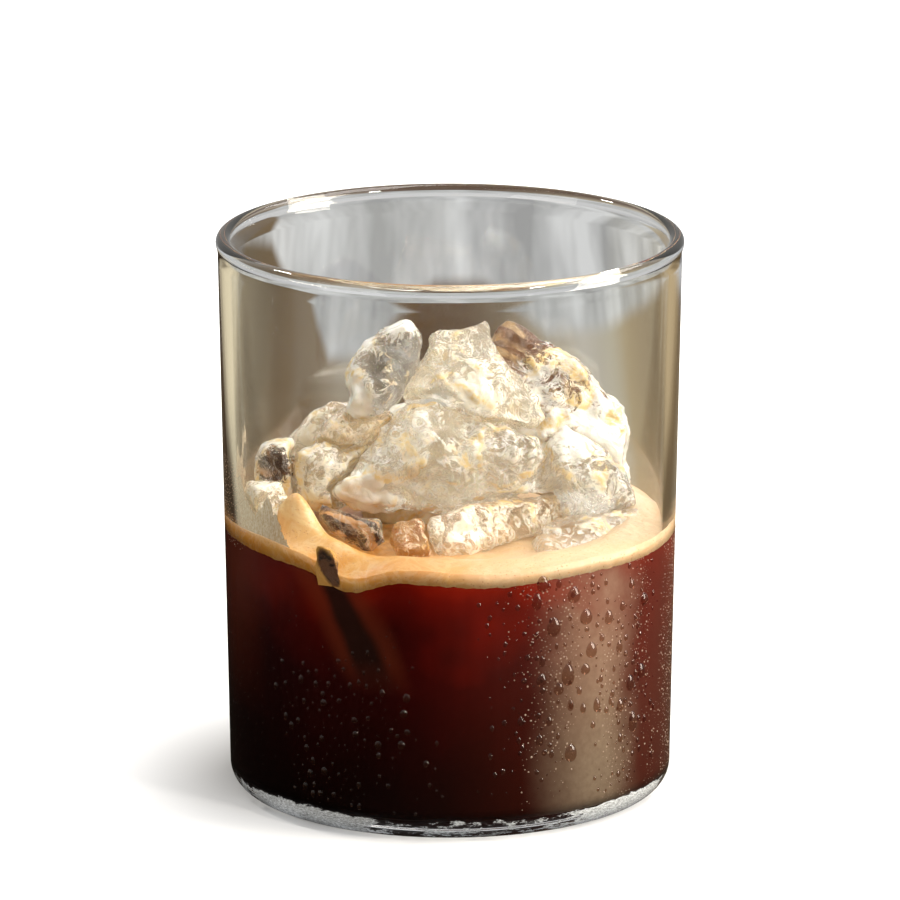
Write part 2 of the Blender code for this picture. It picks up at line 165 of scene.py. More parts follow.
NEAR_ENDS = (
    (0.22, 0.405), (0.265, 0.370), (0.295, 0.330), (0.325, 0.298), (0.38, 0.298), (0.43, 0.342),
    (0.48, 0.368), (0.545, 0.368), (0.64, 0.320), (0.75, 0.325), (0.85, 0.338), (1.00, 0.345),
)

# Each lump's body, its height of knobs in millimetres, how much of it the foam covers, the foam's
# tone, and the spots where there is more or less of it: across and up as the viewer sees them from
# the middle of the drink's surface in millimetres, radius and change of cover
ICE = {
    "ice_crown_left": (
        "smoky", 0.4, 0.18, "white",
        ((-18.4, 27.0, 2.4, 1.2), (-16.5, 20.5, 3.8, 0.9), (-15.5, 32.5, 2.2, 0.9), (-8.5, 35.5, 3.0, 0.8)),
    ),
    "ice_crown_middle": (
        "cloudy", 0.6, 0.40, "cream",
        ((5.5, 34.5, 4.0, -0.2), (-2.0, 21.5, 3.2, -0.4), (4.0, 24.0, 3.0, 0.5)),
    ),
    "ice_back_right": (
        "brown", 0.6, 0.62, "white",
        ((11.0, 34.5, 6.0, -1.0), (21.0, 24.0, 3.6, -0.4), (31.5, 17.0, 5.0, 0.4)),
    ),
    "ice_front_slab": (
        "clear", 0.9, 0.43, "white",
        ((-16.0, 5.0, 4.5, 0.6), (0.0, 17.2, 2.6, -0.3), (2.5, 7.6, 2.6, -0.2)),
    ),
    "ice_wedge": ("clear", 0.6, 0.34, "cream", ((2.0, -1.0, 4.0, 0.3), (24.0, 3.0, 4.0, -0.3))),
    "ice_right": ("clear", 0.5, 0.42, "white", ((17.0, 7.4, 3.0, -0.4), (20.0, 15.0, 4.0, 0.3))),
    "ice_right_plate": ("clear", 0.4, 0.44, "grey", ()),
    "ice_left_block": ("cloudy", 0.6, 0.50, "cream", ()),
    "ice_left_amber": ("cloudy", 0.6, 0.46, "peach", ()),
    "ice_left_arch": ("dark", 0.2, 0.85, "cream", ((-30.0, 10.4, 2.8, -1.5),)),
    "ice_left_back": ("cloudy", 0.5, 0.55, "cream", ((-17.0, 20.0, 5.0, -0.2),)),
    "ice_left_wall": ("cloudy", 0.3, 0.64, "cream", ((-29.0, 5.0, 2.4, -0.3),)),
    "ice_left_shard": ("dark", 0.6, 0.14, "cream", ((-21.0, -5.0, 3.0, 0.4), (-12.0, -2.0, 3.0, 0.2))),
    "ice_front_shard": ("amber", 0.9, 0.26, "amber", ((-3.0, -3.0, 3.0, 0.3),)),
    "ice_wall_blade": ("sunk", 0.1, 0.0, "peach", ()),
    "ice_core": ("cloudy", 0.4, 0.85, "cream", ()),
    "ice_back": ("cloudy", 0.4, 0.85, "cream", ()),
}


def colour_setting(name, description, default):
    return bpy.props.FloatVectorProperty(
        name=name, description=description, subtype="COLOR", size=3, min=0.0, max=1.0, default=default
    )


def length_setting(name, description, default):
    return bpy.props.FloatProperty(
        name=name, description=description, default=default, min=0.0,
        subtype="DISTANCE", unit="LENGTH", precision=5,
    )


def power_setting(name, description, default):
    return bpy.props.FloatProperty(
        name=name, description=description, subtype="POWER", unit="POWER", min=0.0, default=default
    )


class EspressoStage(bpy.types.PropertyGroup):
    key: power_setting("Key", "Power of the softbox at the right", 6.4)
    overhead: power_setting("Overhead", "Power of the softbox overhead", 5.5)
    fill: power_setting("Fill", "Power of the softbox at the left", 1.9)
    glint: power_setting("Glint", "Power of the small lamp that sparkles on the ice", 2.6)
    back_glint: power_setting("Back glint", "Power of the small lamp behind, at the left", 1.6)
    lens: bpy.props.FloatProperty(
        name="Lens", description="Focal length in millimetres", subtype="DISTANCE_CAMERA", default=CAMERA_LENS
    )


class EspressoGlass(bpy.types.PropertyGroup):
    tint: colour_setting("Tint", "Colour of the clear glass", (0.97, 0.985, 0.98))
    bead: length_setting("Bead", "Thickness of the rim's rounded bead", RIM_THICKNESS)
    sides: bpy.props.IntProperty(name="Sides", description="Faces round the tumbler", min=48, default=240)
    # The film round the foot: a film of water with a painted sheen
    frost_sheen_dark: colour_setting("Frost shade", "Darker tone of the film round the foot", (0.30, 0.31, 0.31))
    frost_sheen_light: colour_setting("Frost", "Paler tone of the film round the foot", (0.80, 0.83, 0.85))


class EspressoDrink(bpy.types.PropertyGroup):
    # Painted glow and shade: the coffee's red just under the foam and its near black at the bottom stand for
    # the light that enters under the foam
    glow: colour_setting("Glow", "Coffee just under the foam", (0.17, 0.006, 0.0006))
    deep: colour_setting("Deep", "Coffee at the bottom", (0.006, 0.0008, 0.0005))
    # Painted highlight: the colour of the key light on the misted wall at the right
    haze_highlight: colour_setting("Haze", "Soft light on the misted wall at the right", (0.205, 0.118, 0.079))
    # Foam tones with painted light and shade: the crests and the right side paler, the left deeper
    foam_low_left: colour_setting("Foam, left", "Foam against the glass, at the left", (0.50, 0.20, 0.018))
    foam_low_right: colour_setting("Foam, right", "Foam against the glass, at the right", (0.63, 0.43, 0.25))
    foam_high_left: colour_setting("Crest, left", "Crests of the foam at the left", (0.78, 0.62, 0.34))
    foam_high_right: colour_setting("Crest, right", "Crests of the foam at the right", (0.63, 0.53, 0.43))
    raggedness: length_setting("Raggedness", "Unevenness of the line between coffee and foam", 0.25 * MM)


class EspressoIce(bpy.types.PropertyGroup):
    grain: length_setting("Grain", "Size of the finest facets", 0.36 * MM)
    ridges: length_setting("Ridges", "Height of the broken ridges", 0.34 * MM)
    ripples: length_setting("Ripples", "Height of the melted ripples", 0.10 * MM)
    film_rise: length_setting("Film rise", "How far the foam film stands on the ice", 0.05 * MM)
    white: colour_setting("White foam", "The whitest foam on the ice", (0.89, 0.86, 0.79))
    cream: colour_setting("Cream foam", "Foam with a little coffee in it", (0.87, 0.80, 0.65))
    peach: colour_setting("Peach foam", "Foam with more coffee in it", (0.84, 0.66, 0.44))
    grey: colour_setting("Grey foam", "Thin foam over dark ice", (0.56, 0.50, 0.42))
    amber: colour_setting("Amber foam", "Foam soaked with coffee", (0.78, 0.47, 0.17))


class EspressoDew(bpy.types.PropertyGroup):
    seed: bpy.props.IntProperty(name="Seed", description="Changes where the drops lie", min=0, default=3)
    size: bpy.props.FloatProperty(
        name="Size", description="Size of the drops", subtype="FACTOR", min=0.1, max=3.0, default=1.0
    )
    # Painted shade: the drops' water is tinted dark, as they lack the light of the fogged glass round them
    water: colour_setting("Water", "Colour of the larger drops", (0.36, 0.20, 0.14))


GROUPS = (EspressoStage, EspressoGlass, EspressoDrink, EspressoIce, EspressoDew)


class EspressoSettings(bpy.types.PropertyGroup):
    stage: bpy.props.PointerProperty(type=EspressoStage, name="Stage", description="Light and camera")
    glass: bpy.props.PointerProperty(type=EspressoGlass, name="Glass", description="The tumbler")
    drink: bpy.props.PointerProperty(type=EspressoDrink, name="Drink", description="Coffee and foam")
    ice: bpy.props.PointerProperty(type=EspressoIce, name="Ice", description="Broken ice and the foam on it")
    dew: bpy.props.PointerProperty(type=EspressoDew, name="Dew", description="Drops on the outside")


def bell(distance, width):
    return math.exp(-((distance / width) ** 2))


def grey(level):
    return (level, level, level)


def angle_between(a, b):
    return abs((a - b + math.pi) % math.tau - math.pi)


def arc(centre, radius, start, end, steps):
    """Points of a round stretch of a profile, angles in degrees from +X."""
    points = []
    for k in range(steps + 1):
        angle = math.radians(start + (end - start) * k / steps)
        points.append((centre[0] + radius * math.cos(angle), centre[1] + radius * math.sin(angle)))
    return points


def wall_radius(height):
    return FOOT_RADIUS + (WALL_TOP_RADIUS - FOOT_RADIUS) * height / GLASS_HEIGHT


def bore_radius(height):
    return wall_radius(height) - WALL


def put_in_scene(name, data):
    thing = bpy.data.objects.new(name, data)
    bpy.context.scene.collection.objects.link(thing)
    return thing


def add_piece(name, mesh, nodes, finish):
    """Adds a finished mesh to the object, in place of the solids that it stands for."""
    piece = put_in_scene(name, mesh)
    mesh.materials.clear()
    mesh.materials.append(finish)
    for polygon in mesh.polygons:
        polygon.use_smooth = True
        polygon.material_index = 0
    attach(piece, BODY)
    if nodes:
        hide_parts(*nodes)
    return piece


def mesh_from(name, bm, closed=True):
    """A plain mesh. A closed one has its faces turned outwards."""
    if closed:
        bmesh.ops.recalc_face_normals(bm, faces=bm.faces)
    mesh = bpy.data.meshes.new(name)
    bm.to_mesh(mesh)
    bm.free()
    return mesh


def ring_of(bm, radius, height, steps):
    """A ring of points round the axis, or the one point on it."""
    if radius == 0.0:
        return [bm.verts.new((0.0, 0.0, height))]
    angles = [math.tau * k / steps for k in range(steps)]
    return [bm.verts.new((radius * math.cos(angle), radius * math.sin(angle), height)) for angle in angles]


def join_rings(bm, rings, steps):
    for first, second in zip(rings, rings[1:]):
        for k in range(steps):
            after = (k + 1) % steps
            if len(first) == 1:
                bm.faces.new((first[0], second[k], second[after]))
            elif len(second) == 1:
                bm.faces.new((first[k], first[after], second[0]))
            else:
                bm.faces.new((first[k], first[after], second[after], second[k]))


def wall_sheet(name, angles, heights, steps, radius_at, attribute, value_at):
    """An open sheet along the wall, with an attribute from a rule of the shares along and up."""
    bm = bmesh.new()
    layer = bm.verts.layers.float.new(attribute)
    start, end = angles
    rows = []
    for height in heights:
        up = len(rows) / (len(heights) - 1)
        radius = radius_at(height)
        row = []
        for k in range(steps + 1):
            angle = math.radians(start + (end - start) * k / steps)
            vert = bm.verts.new((radius * math.cos(angle), radius * math.sin(angle), height))
            vert[layer] = value_at(k / steps, up)
            row.append(vert)
        rows.append(row)
    for first, second in zip(rows, rows[1:]):
        for k in range(steps):
            bm.faces.new((first[k], first[k + 1], second[k + 1], second[k]))
    return mesh_from(name, bm, closed=False)


class Shade:
    """Builds a material's or a group's nodes in a few words."""

    def __init__(self, tree):
        self.tree = tree
        self.nodes = tree.nodes
        self.links = tree.links

    def add(self, kind, **values):
        node = self.nodes.new(kind)
        for key, value in values.items():
            setattr(node, key, value)
        return node

    def link(self, source, target):
        self.links.new(source, target)

    def put(self, socket, value):
        if isinstance(value, bpy.types.NodeSocket):
            self.link(value, socket)
        else:
            socket.default_value = value

    def feed(self, node, **inputs):
        for key, value in inputs.items():
            self.put(node.inputs[key.replace("_", " ")], value)

    def fed(self, kind, settings=None, **inputs):
        """A new node with its settings and inputs."""
        node = self.add(kind, **(settings or {}))
        self.feed(node, **inputs)
        return node

    def where(self):
        return self.add("ShaderNodeTexCoord").outputs["Object"]

    def axes(self, vector):
        node = self.add("ShaderNodeSeparateXYZ")
        self.link(vector, node.inputs[0])
        return node.outputs

    def distance(self, vector, point):
        node = self.add("ShaderNodeVectorMath", operation="DISTANCE")
        self.link(vector, node.inputs[0])
        node.inputs[1].default_value = point
        return node.outputs["Value"]

    def scaled(self, vector, scale):
        return self.fed("ShaderNodeVectorMath", {"operation": "SCALE"}, Vector=vector, Scale=scale).outputs[0]

    def stretched(self, scale):
        return self.fed("ShaderNodeMapping", Vector=self.where(), Scale=scale).outputs["Vector"]

    def attribute(self, name, output="Fac"):
        return self.add("ShaderNodeAttribute", attribute_name=name).outputs[output]

    def noise(self, vector, scale, detail=4.0, roughness=0.5, distortion=0.0):
        node = self.fed("ShaderNodeTexNoise", Vector=vector, Scale=scale, Detail=detail)
        self.feed(node, Roughness=roughness, Distortion=distortion)
        return node.outputs["Fac"]

    def ramp(self, factor, stops):
        node = self.add("ShaderNodeValToRGB")
        self.link(factor, node.inputs["Fac"])
        band = node.color_ramp
        while len(band.elements) > 1:
            band.elements.remove(band.elements[-1])
        band.elements[0].position = stops[0][0]
        band.elements[0].color = (*stops[0][1], 1.0)
        for place, colour in stops[1:]:
            band.elements.new(place).color = (*colour, 1.0)
        return node.outputs["Color"]

    def steps(self, value, low, high, to_low=0.0, to_high=1.0, smooth=False):
        """A value brought from one range to another and held at its ends."""
        node = self.add("ShaderNodeMapRange", interpolation_type="SMOOTHSTEP" if smooth else "LINEAR")
        self.feed(node, Value=value, From_Min=low, From_Max=high, To_Min=to_low, To_Max=to_high)
        return node.outputs["Result"]

    def ease(self, value, low, high, to_low=0.0, to_high=1.0):
        """The same as steps, with soft ends."""
        return self.steps(value, low, high, to_low, to_high, smooth=True)

    def math(self, operation, a, b=0.0):
        node = self.add("ShaderNodeMath", operation=operation)
        self.put(node.inputs[0], a)
        self.put(node.inputs[1], b)
        return node.outputs[0]

    def plus(self, a, b):
        return self.math("ADD", a, b)

    def minus(self, a, b):
        return self.math("SUBTRACT", a, b)

    def times(self, a, b, *more):
        product = self.math("MULTIPLY", a, b)
        for value in more:
            product = self.math("MULTIPLY", product, value)
        return product

    def most(self, a, b):
        return self.math("MAXIMUM", a, b)

    def absolute(self, a):
        return self.math("ABSOLUTE", a)

    def sway(self, mask, reach):
        """A mask of noise as an offset to both sides of nothing."""
        return self.times(self.minus(mask, 0.5), reach)

    def mirrored(self):
        """One for rays that a surface mirrors, nought for all others."""
        path = self.add("ShaderNodeLightPath").outputs
        return self.times(path["Is Glossy Ray"], path["Is Reflection Ray"])

    def mix(self, factor, a, b, blend="MIX"):
        node = self.add("ShaderNodeMix", data_type="RGBA", blend_type=blend)
        for index, value in ((0, factor), (6, a), (7, b)):
            self.put(node.inputs[index], (*value, 1.0) if isinstance(value, tuple) else value)
        return node.outputs[2]

    def bump(self, height, distance, strength):
        node = self.fed("ShaderNodeBump", Height=height, Distance=distance, Strength=strength)
        return node.outputs["Normal"]

    def show(self, shader):
        self.link(shader, self.nodes["Material Output"].inputs["Surface"])

    def either(self, factor, first, second):
        node = self.add("ShaderNodeMixShader")
        for index, socket in enumerate((factor, first, second)):
            self.link(socket, node.inputs[index])
        return node.outputs[0]


def new_tree(name, kind, inputs, outputs):
    """An empty node tree with its sockets, the outputs of its input node and its output node."""
    tree = bpy.data.node_groups.new(name, kind)
    for in_out, sockets in (("INPUT", inputs), ("OUTPUT", outputs)):
        for label, socket in sockets.items():
            tree.interface.new_socket(label, in_out=in_out, socket_type="NodeSocket" + socket)
    shade = Shade(tree)
    return shade, shade.add("NodeGroupInput").outputs, shade.add("NodeGroupOutput")


def new_material(name):
    """An empty material with its Principled shader, joined to the output."""
    material = bpy.data.materials.new(name)
    material.use_nodes = True
    shade = Shade(material.node_tree)
    shader = material.node_tree.nodes["Principled BSDF"]
    return material, shade, shader


def let_lamps_through(shade, shader, tint):
    """Lamps and soft bounced light pass through the clear shader, so that what it holds is lit."""
    path = shade.add("ShaderNodeLightPath").outputs
    clear = shade.fed("ShaderNodeBsdfTransparent", Color=(*tint, 1.0))
    passing = shade.most(path["Is Shadow Ray"], path["Is Diffuse Ray"])
    shade.show(shade.either(passing, shader.outputs[0], clear.outputs[0]))


def clear_finish(name, colour, ior, tint):
    """Clear glass or water, and the tint that it gives to the light of lamps."""
    material, shade, shader = new_material(name)
    shade.feed(shader, Base_Color=(*colour, 1.0), Roughness=0.0, IOR=ior, Transmission_Weight=1.0)
    let_lamps_through(shade, shader, tint)
    return material


def mist_finish():
    """The finest drops, which catch the light as pale specks."""
    material, shade, shader = new_material("mist")
    speck = shade.noise(shade.where(), 2500.0, 2.0)
    colour = shade.mix(shade.steps(speck, 0.3, 0.7), (0.30, 0.19, 0.13), (0.62, 0.48, 0.37))
    shade.feed(shader, Base_Color=colour, Roughness=0.15, IOR=1.33, Transmission_Weight=0.35)
    return material


def ahead_of_edge(shade, patches, height, low, high):
    """How far a pattern stands over the edge that the attribute "cover" sets between two levels."""
    # The noise lies between 0.3 and 0.7, so the cover is brought to that range
    spread = shade.plus(shade.times(patches, 0.5), shade.times(height, 0.37))
    return shade.minus(spread, shade.steps(shade.attribute("cover"), 0.0, 1.0, high, low))


def wall_film_finish(name, size, stretch, tones, relief):
    """A broken film on the glass, thick where the attribute "cover" says."""
    material, shade, shader = new_material(name)
    patches, _, flecks, height = flow(shade, size, 0.6, shade.stretched((1.0, 1.0, stretch)))
    ahead = ahead_of_edge(shade, patches, height, 0.26, 0.72)
    alpha = shade.ease(ahead, -0.03, 0.05, 0.0, 0.96)
    colour = shade.mix(shade.steps(flecks, 0.40, 0.62), tones[0], tones[1])
    normal = shade.bump(height, 0.0004, relief)
    shade.feed(shader, Base_Color=colour, Roughness=0.25, Normal=normal, Alpha=alpha, Coat_Weight=0.5)
    return material


def coffee_finish(settings):
    """Near black, with the red glow of light that enters under the foam and at the sides painted into its
    colour, painted shade at the left and a painted highlight on the misted wall at the right.
    """
    material, shade, shader = new_material("coffee_liquid")
    x, y, z = shade.axes(shade.where())
    cloud = shade.noise(shade.where(), 60.0, 2.0)
    depth = shade.minus(COFFEE_LEVEL, shade.plus(z, shade.sway(cloud, 0.03)))
    # Painted glow: the red of light entering under the foam, fading with depth to near black
    deep = shade.ramp(
        shade.steps(depth, 0.0, 0.042),
        [
            (0.0, tuple(settings.glow)),
            (0.14, (0.080, 0.002, 0.0004)),
            (0.35, (0.026, 0.0008, 0.0004)),
            (0.65, (0.014, 0.0008, 0.0004)),
            (1.0, tuple(settings.deep)),
        ],
    )
    # Painted shade: the coffee is darker toward the left, away from the key light
    left = shade.ease(x, -0.030, 0.0, 0.35, 1.0)
    shaded = shade.mix(1.0, deep, left, "MULTIPLY")
    # Painted glow: a lighter red toward the right
    right = shade.ease(x, -0.005, 0.034)
    shaded = shade.mix(shade.times(right, 0.6), shaded, (0.06, 0.006, 0.002))
    grain = shade.noise(shade.where(), 700.0, 3.0, 0.6)
    # Painted glow: a red band against the left wall, from light that enters at the side
    edge = shade.times(shade.steps(x, -0.0300, -0.0350), 0.8, shade.steps(z, 0.016, 0.040))
    shaded = shade.mix(edge, shaded, (0.060, 0.008, 0.0015))
    # Painted highlight: the key light spread by the misted wall at the right, a speckled band that fades at
    # its edges and under the foam, greyer low down
    lower = shade.ease(z, 0.008, 0.040)
    spread = shade.plus(x, shade.sway(cloud, 0.006))
    rise = shade.ease(spread, 0.0120, 0.0250)
    fall = shade.ease(spread, 0.0258, 0.0322, 1.0, 0.03)
    front = shade.ease(y, -0.014, 0.0, 1.0, 0.0)
    speckled = shade.steps(grain, 0.3, 0.7, 0.75, 1.0)
    under_foam = shade.ease(depth, 0.0, 0.006, 0.55, 1.0)
    haze_highlight = shade.times(rise, fall, speckled, front, under_foam)
    colour = shade.mix(haze_highlight, shaded, shade.mix(lower, (0.185, 0.135, 0.092), tuple(settings.haze_highlight)))
    # Painted glow: red light either side of a leaning line below the blade of ice, with a dark streak along
    # the line
    line = shade.steps(z, 0.025, 0.048, -0.0110, -0.0215)
    beside = shade.absolute(shade.minus(x, line))
    beside = shade.plus(beside, shade.sway(cloud, 0.004))
    ends = shade.times(shade.steps(z, 0.0250, 0.0315), shade.steps(y, -0.02, -0.025))
    glow = shade.times(shade.ease(beside, 0.0035, 0.0070, 0.55, 0.0), ends)
    colour = shade.mix(glow, colour, (0.085, 0.014, 0.005))
    streak = shade.times(shade.ease(beside, 0.0014, 0.0036, 0.92, 0.0), ends)
    colour = shade.mix(streak, colour, (0.008, 0.003, 0.002))
    shade.feed(shader, Base_Color=colour, Roughness=0.45, Specular_IOR_Level=0.015)
    return material


def crema_finish(settings):
    """Tan foam, deeper in tone at the left and against the glass, paler at the right and on its crests: its
    own tones with painted light and shade from the lamps at the right.
    """
    material, shade, shader = new_material("coffee_foam")
    patches, veins, flecks, height = flow(shade, 70.0, 1.2)
    where = shade.where()
    x, _, z = shade.axes(where)
    # Painted light and shade over the foam's tones: paler crests and right side, deeper low down and at the
    # left
    level = shade.plus(z, shade.sway(patches, 0.004))
    crest = shade.ease(level, 0.0470, 0.0525)
    right = shade.ease(x, -0.016, 0.020)
    low = shade.mix(right, tuple(settings.foam_low_left), tuple(settings.foam_low_right))
    high = shade.mix(right, tuple(settings.foam_high_left), tuple(settings.foam_high_right))
    base = shade.mix(crest, low, high)
    streaked = shade.times(shade.ease(patches, 0.46, 0.62), shade.steps(right, 0.0, 1.0, 0.85, 0.25))
    base = shade.mix(streaked, base, (0.52, 0.26, 0.055))
    # Painted shadow: the foam under and behind the ice is darkened, along with the brown stain of soaked foam
    pool = shade.distance(where, POOL_MIDDLE)
    soaked = shade.ease(pool, 0.008, 0.0135, 1.0, 0.0)
    soaked = shade.times(soaked, shade.steps(flecks, 0.36, 0.60, 0.75, 0.2))
    base = shade.mix(soaked, base, (0.25, 0.100, 0.025))
    plate = shade.distance(where, PLATE_MIDDLE)
    under = shade.ease(plate, 0.007, 0.0140, 1.0, 0.0)
    under = shade.times(under, shade.steps(flecks, 0.40, 0.60, 0.2, 0.8))
    base = shade.mix(under, base, (0.40, 0.28, 0.17))
    base = shade.mix(shade.times(veins, 0.12), base, (0.90, 0.78, 0.52))
    # Painted shade in the pores, darker where they sink in
    pores = shade.fed("ShaderNodeTexVoronoi", Vector=where, Scale=1500.0)
    pit = shade.steps(pores.outputs["Distance"], 0.10, 0.24)
    base = shade.mix(pit, (0.42, 0.20, 0.07), base)
    normal = shade.bump(shade.plus(shade.times(pit, 0.3), height), 0.00016, 0.5)
    shade.feed(shader, Base_Color=base, Roughness=0.40, Normal=normal, Subsurface_Weight=0.15)
    shade.feed(shader, Subsurface_Radius=(0.004, 0.002, 0.001), Subsurface_Scale=0.6, Coat_Weight=0.15)
    return material


FLOW_MASKS = ("Patches", "Veins", "Flecks", "Height")


def shared_flow():
    """Streaked, folded patterns, as coffee and air leave them in ice and foam, built once."""
    group = bpy.data.node_groups.get("ice_flow")
    if group:
        return group
    inputs = {"Place": "Vector", "Size": "Float", "Fold": "Float"}
    masks = dict.fromkeys(FLOW_MASKS, "Float")
    shade, source, result = new_tree("ice_flow", "ShaderNodeTree", inputs, masks)
    place, size, fold = (source[name] for name in inputs)
    patches = shade.noise(place, size, 5.0, 0.55, fold)
    veins = shade.noise(place, shade.times(size, 2.6), 6.0, 0.62, fold)
    flecks = shade.noise(place, shade.times(size, 7.0), 4.0, 0.70, fold)
    threads = shade.steps(shade.absolute(shade.minus(veins, 0.5)), 0.0, 0.06, 1.0, 0.0)
    height = shade.plus(veins, shade.times(flecks, 0.35))
    shade.feed(result, Patches=patches, Veins=threads, Flecks=flecks, Height=height)
    return shade.tree


def flow(shade, size, fold, place=None):
    settings = {"node_tree": shared_flow()}
    node = shade.fed("ShaderNodeGroup", settings, Place=place or shade.where(), Size=size, Fold=fold)
    return [node.outputs[name] for name in FLOW_MASKS]


def ice_finish(kind):
    """Wet broken ice: clear, cloudy, or stained amber or brown by the coffee."""
    # Its colour, the colour of its stains, how clear it is, its roughness and its relief
    looks = {
        "clear": ((0.98, 0.98, 0.97), (0.93, 0.91, 0.87), 1.0, 0.01, 0.9),
        "smoky": ((0.97, 0.96, 0.94), (0.34, 0.29, 0.23), 1.0, 0.01, 1.3),
        "cloudy": ((0.98, 0.96, 0.91), (0.97, 0.86, 0.64), 0.90, 0.02, 0.9),
        "amber": ((0.96, 0.78, 0.44), (0.70, 0.33, 0.07), 0.90, 0.02, 0.9),
        "brown": ((0.90, 0.62, 0.30), (0.22, 0.09, 0.04), 0.75, 0.03, 0.7),
        "dark": ((0.70, 0.40, 0.17), (0.050, 0.020, 0.010), 0.60, 0.03, 0.7),
        "sunk": ((0.110, 0.050, 0.026), (0.022, 0.010, 0.006), 0.0, 0.10, 0.4),
    }
    pale, stain, clearness, roughness, relief = looks[kind]
    material, shade, shader = new_material(kind + "_ice")
    patches, veins, flecks, height = flow(shade, 360.0 if kind == "sunk" else 95.0, 1.6)
    stained = shade.ease(patches, 0.46, 0.60)
    if kind in ("brown", "dark"):
        ribs = shade.add("ShaderNodeTexWave", wave_type="BANDS", bands_direction="DIAGONAL")
        shade.feed(ribs, Vector=shade.where(), Scale=130.0, Distortion=5.0, Detail=3.0)
        stained = shade.most(stained, shade.steps(ribs.outputs["Fac"], 0.30, 0.60))
    base = shade.mix(stained, pale, stain)
    base = shade.mix(shade.times(veins, 0.0 if kind == "sunk" else 0.3), base, (0.99, 0.98, 0.95))
    if kind == "sunk":
        base = shade.mix(edge_of_blade(shade, patches), base, (0.52, 0.27, 0.07))
    normal = shade.bump(height, 0.0006, relief)
    wet = shade.steps(flecks, 0.40, 0.75, roughness, roughness + 0.06)
    shade.feed(shader, Base_Color=base, Roughness=wet, IOR=1.31, Transmission_Weight=clearness, Normal=normal)
    let_lamps_through(shade, shader, (0.92, 0.90, 0.86))
    return material


def edge_of_blade(shade, patches):
    """How near a point is to the rim of the leaning oval in which the blade shows in the foam."""
    x, _, z = shade.axes(shade.where())
    up = shade.minus(z, OVAL_UP)
    across = shade.minus(x, shade.minus(OVAL_ACROSS, shade.times(up, OVAL_LEAN)))
    wide = shade.math("POWER", shade.absolute(shade.times(across, 1 / OVAL_HALF_WIDTH)), 2.0)
    tall = shade.math("POWER", shade.absolute(shade.times(up, 1 / OVAL_HALF_HEIGHT)), 2.0)
    out = shade.plus(shade.plus(wide, tall), shade.minus(patches, 0.5))
    return shade.ease(out, 0.5, 1.0)


def film_finish():
    """A broken film of foam: matte in places, open in others, denser and paler where it is seen edge-on, a
    painted highlight along its edges.
    """
    material, shade, shader = new_material("foam_film")
    patches, veins, flecks, height = flow(shade, 120.0, 1.4)
    tone = shade.attribute("tone", "Color")
    stained = shade.mix(shade.ease(patches, 0.50, 0.62), tone, (0.82, 0.60, 0.26))
    pale = shade.mix(shade.times(veins, 0.45), stained, (0.96, 0.95, 0.92))
    dark = shade.mix(shade.steps(flecks, 0.66, 0.74, 0.0, 0.5), pale, (0.40, 0.28, 0.18))
    # Painted highlight: the film turns paler and denser where it is seen edge-on
    facing = shade.fed("ShaderNodeLayerWeight", Blend=0.5)
    rim = shade.ease(facing.outputs["Facing"], 0.84, 1.0)
    colour = shade.mix(shade.times(rim, 0.7), dark, (0.97, 0.96, 0.93))
    ahead = ahead_of_edge(shade, patches, height, 0.24, 0.70)
    thick = shade.steps(shade.attribute("cover"), 0.5, 0.9, 0.72, 0.95)
    veil = shade.times(shade.ease(ahead, -0.02, 0.06), thick)
    threads = shade.times(shade.ease(ahead, -0.14, -0.04), shade.times(veins, 0.75))
    outline = shade.steps(shade.absolute(shade.plus(ahead, 0.030)), 0.0, 0.012, 0.38, 0.0)
    colour = shade.mix(outline, colour, (0.34, 0.25, 0.17))
    alpha = shade.most(shade.most(shade.most(veil, threads), shade.times(rim, 0.85)), outline)
    normal = shade.bump(height, 0.0005, 0.5)
    shade.feed(shader, Base_Color=colour, Roughness=0.22, Normal=normal, Alpha=alpha, Coat_Weight=1.0)
    shade.feed(shader, Coat_Roughness=0.03, Subsurface_Weight=0.2, Subsurface_Scale=0.5)
    shade.feed(shader, Subsurface_Radius=(0.003, 0.002, 0.001))
    return material


def waves(around, rows):
    """The height that a table of waves gives at an angle round the wall."""
    height = 0.0
    for degrees, width, rise in rows:
        height += rise * MM * bell(angle_between(around, math.radians(degrees)), math.radians(width))
    return height


def coffee_top(x, y):
    """Height of the coffee's surface, as the solid has it."""
    around = math.atan2(y, x)
    near_wall = min(1.0, math.hypot(x, y) / bore_radius(COFFEE_LEVEL)) ** 6
    swell = 0.5 * MM * math.sin(3.0 * around + 0.6) * (1.0 - bell(around + math.pi / 2, 1.2))
    return COFFEE_LEVEL + near_wall * (waves(around, COFFEE_WAVES) + swell)


def ragged_top(x, y, share, raggedness):
    """The line between coffee and foam, ragged toward the wall, which is at a share of one."""
    return coffee_top(x, y) + raggedness * noise.noise(Vector((x, y, 0.0)) * 900.0) * share ** 8


def crema_top(x, y):
    """Height of the foam, as the solid has it."""
    out = math.hypot(x, y)
    around = math.atan2(y, x)
    edge = bore_radius(COFFEE_LEVEL) - 0.3 * MM
    toward_wall = min(1.0, max(0.0, (out - POOL_EDGE) / (edge - POOL_EDGE)))
    toward_wall *= toward_wall * (3.0 - 2.0 * toward_wall)
    skin = POOL_SKIN + (CREMA_EDGE_THICKNESS - POOL_SKIN) * toward_wall
    lip = (LIP_RISE + waves(around, CREMA_FOLDS)) * bell(out - LIP_RADIUS, LIP_WIDTH)
    ripple = 0.25 * MM * math.sin(9.0 * around + 180.0 * out) * (1.0 - toward_wall)
    return coffee_top(x, y) + skin + lip + ripple


def soft_area_light(name, place, size, power, colour):
    lamp = bpy.data.lights.new(name, "AREA")
    lamp.shape = "RECTANGLE"
    lamp.size, lamp.size_y = size
    lamp.energy = power
    lamp.color = colour
    obj = put_in_scene(name, lamp)
    obj.location = place
    obj.rotation_euler = (LAMP_AIM - Vector(place)).to_track_quat("-Z", "Y").to_euler()
    return obj


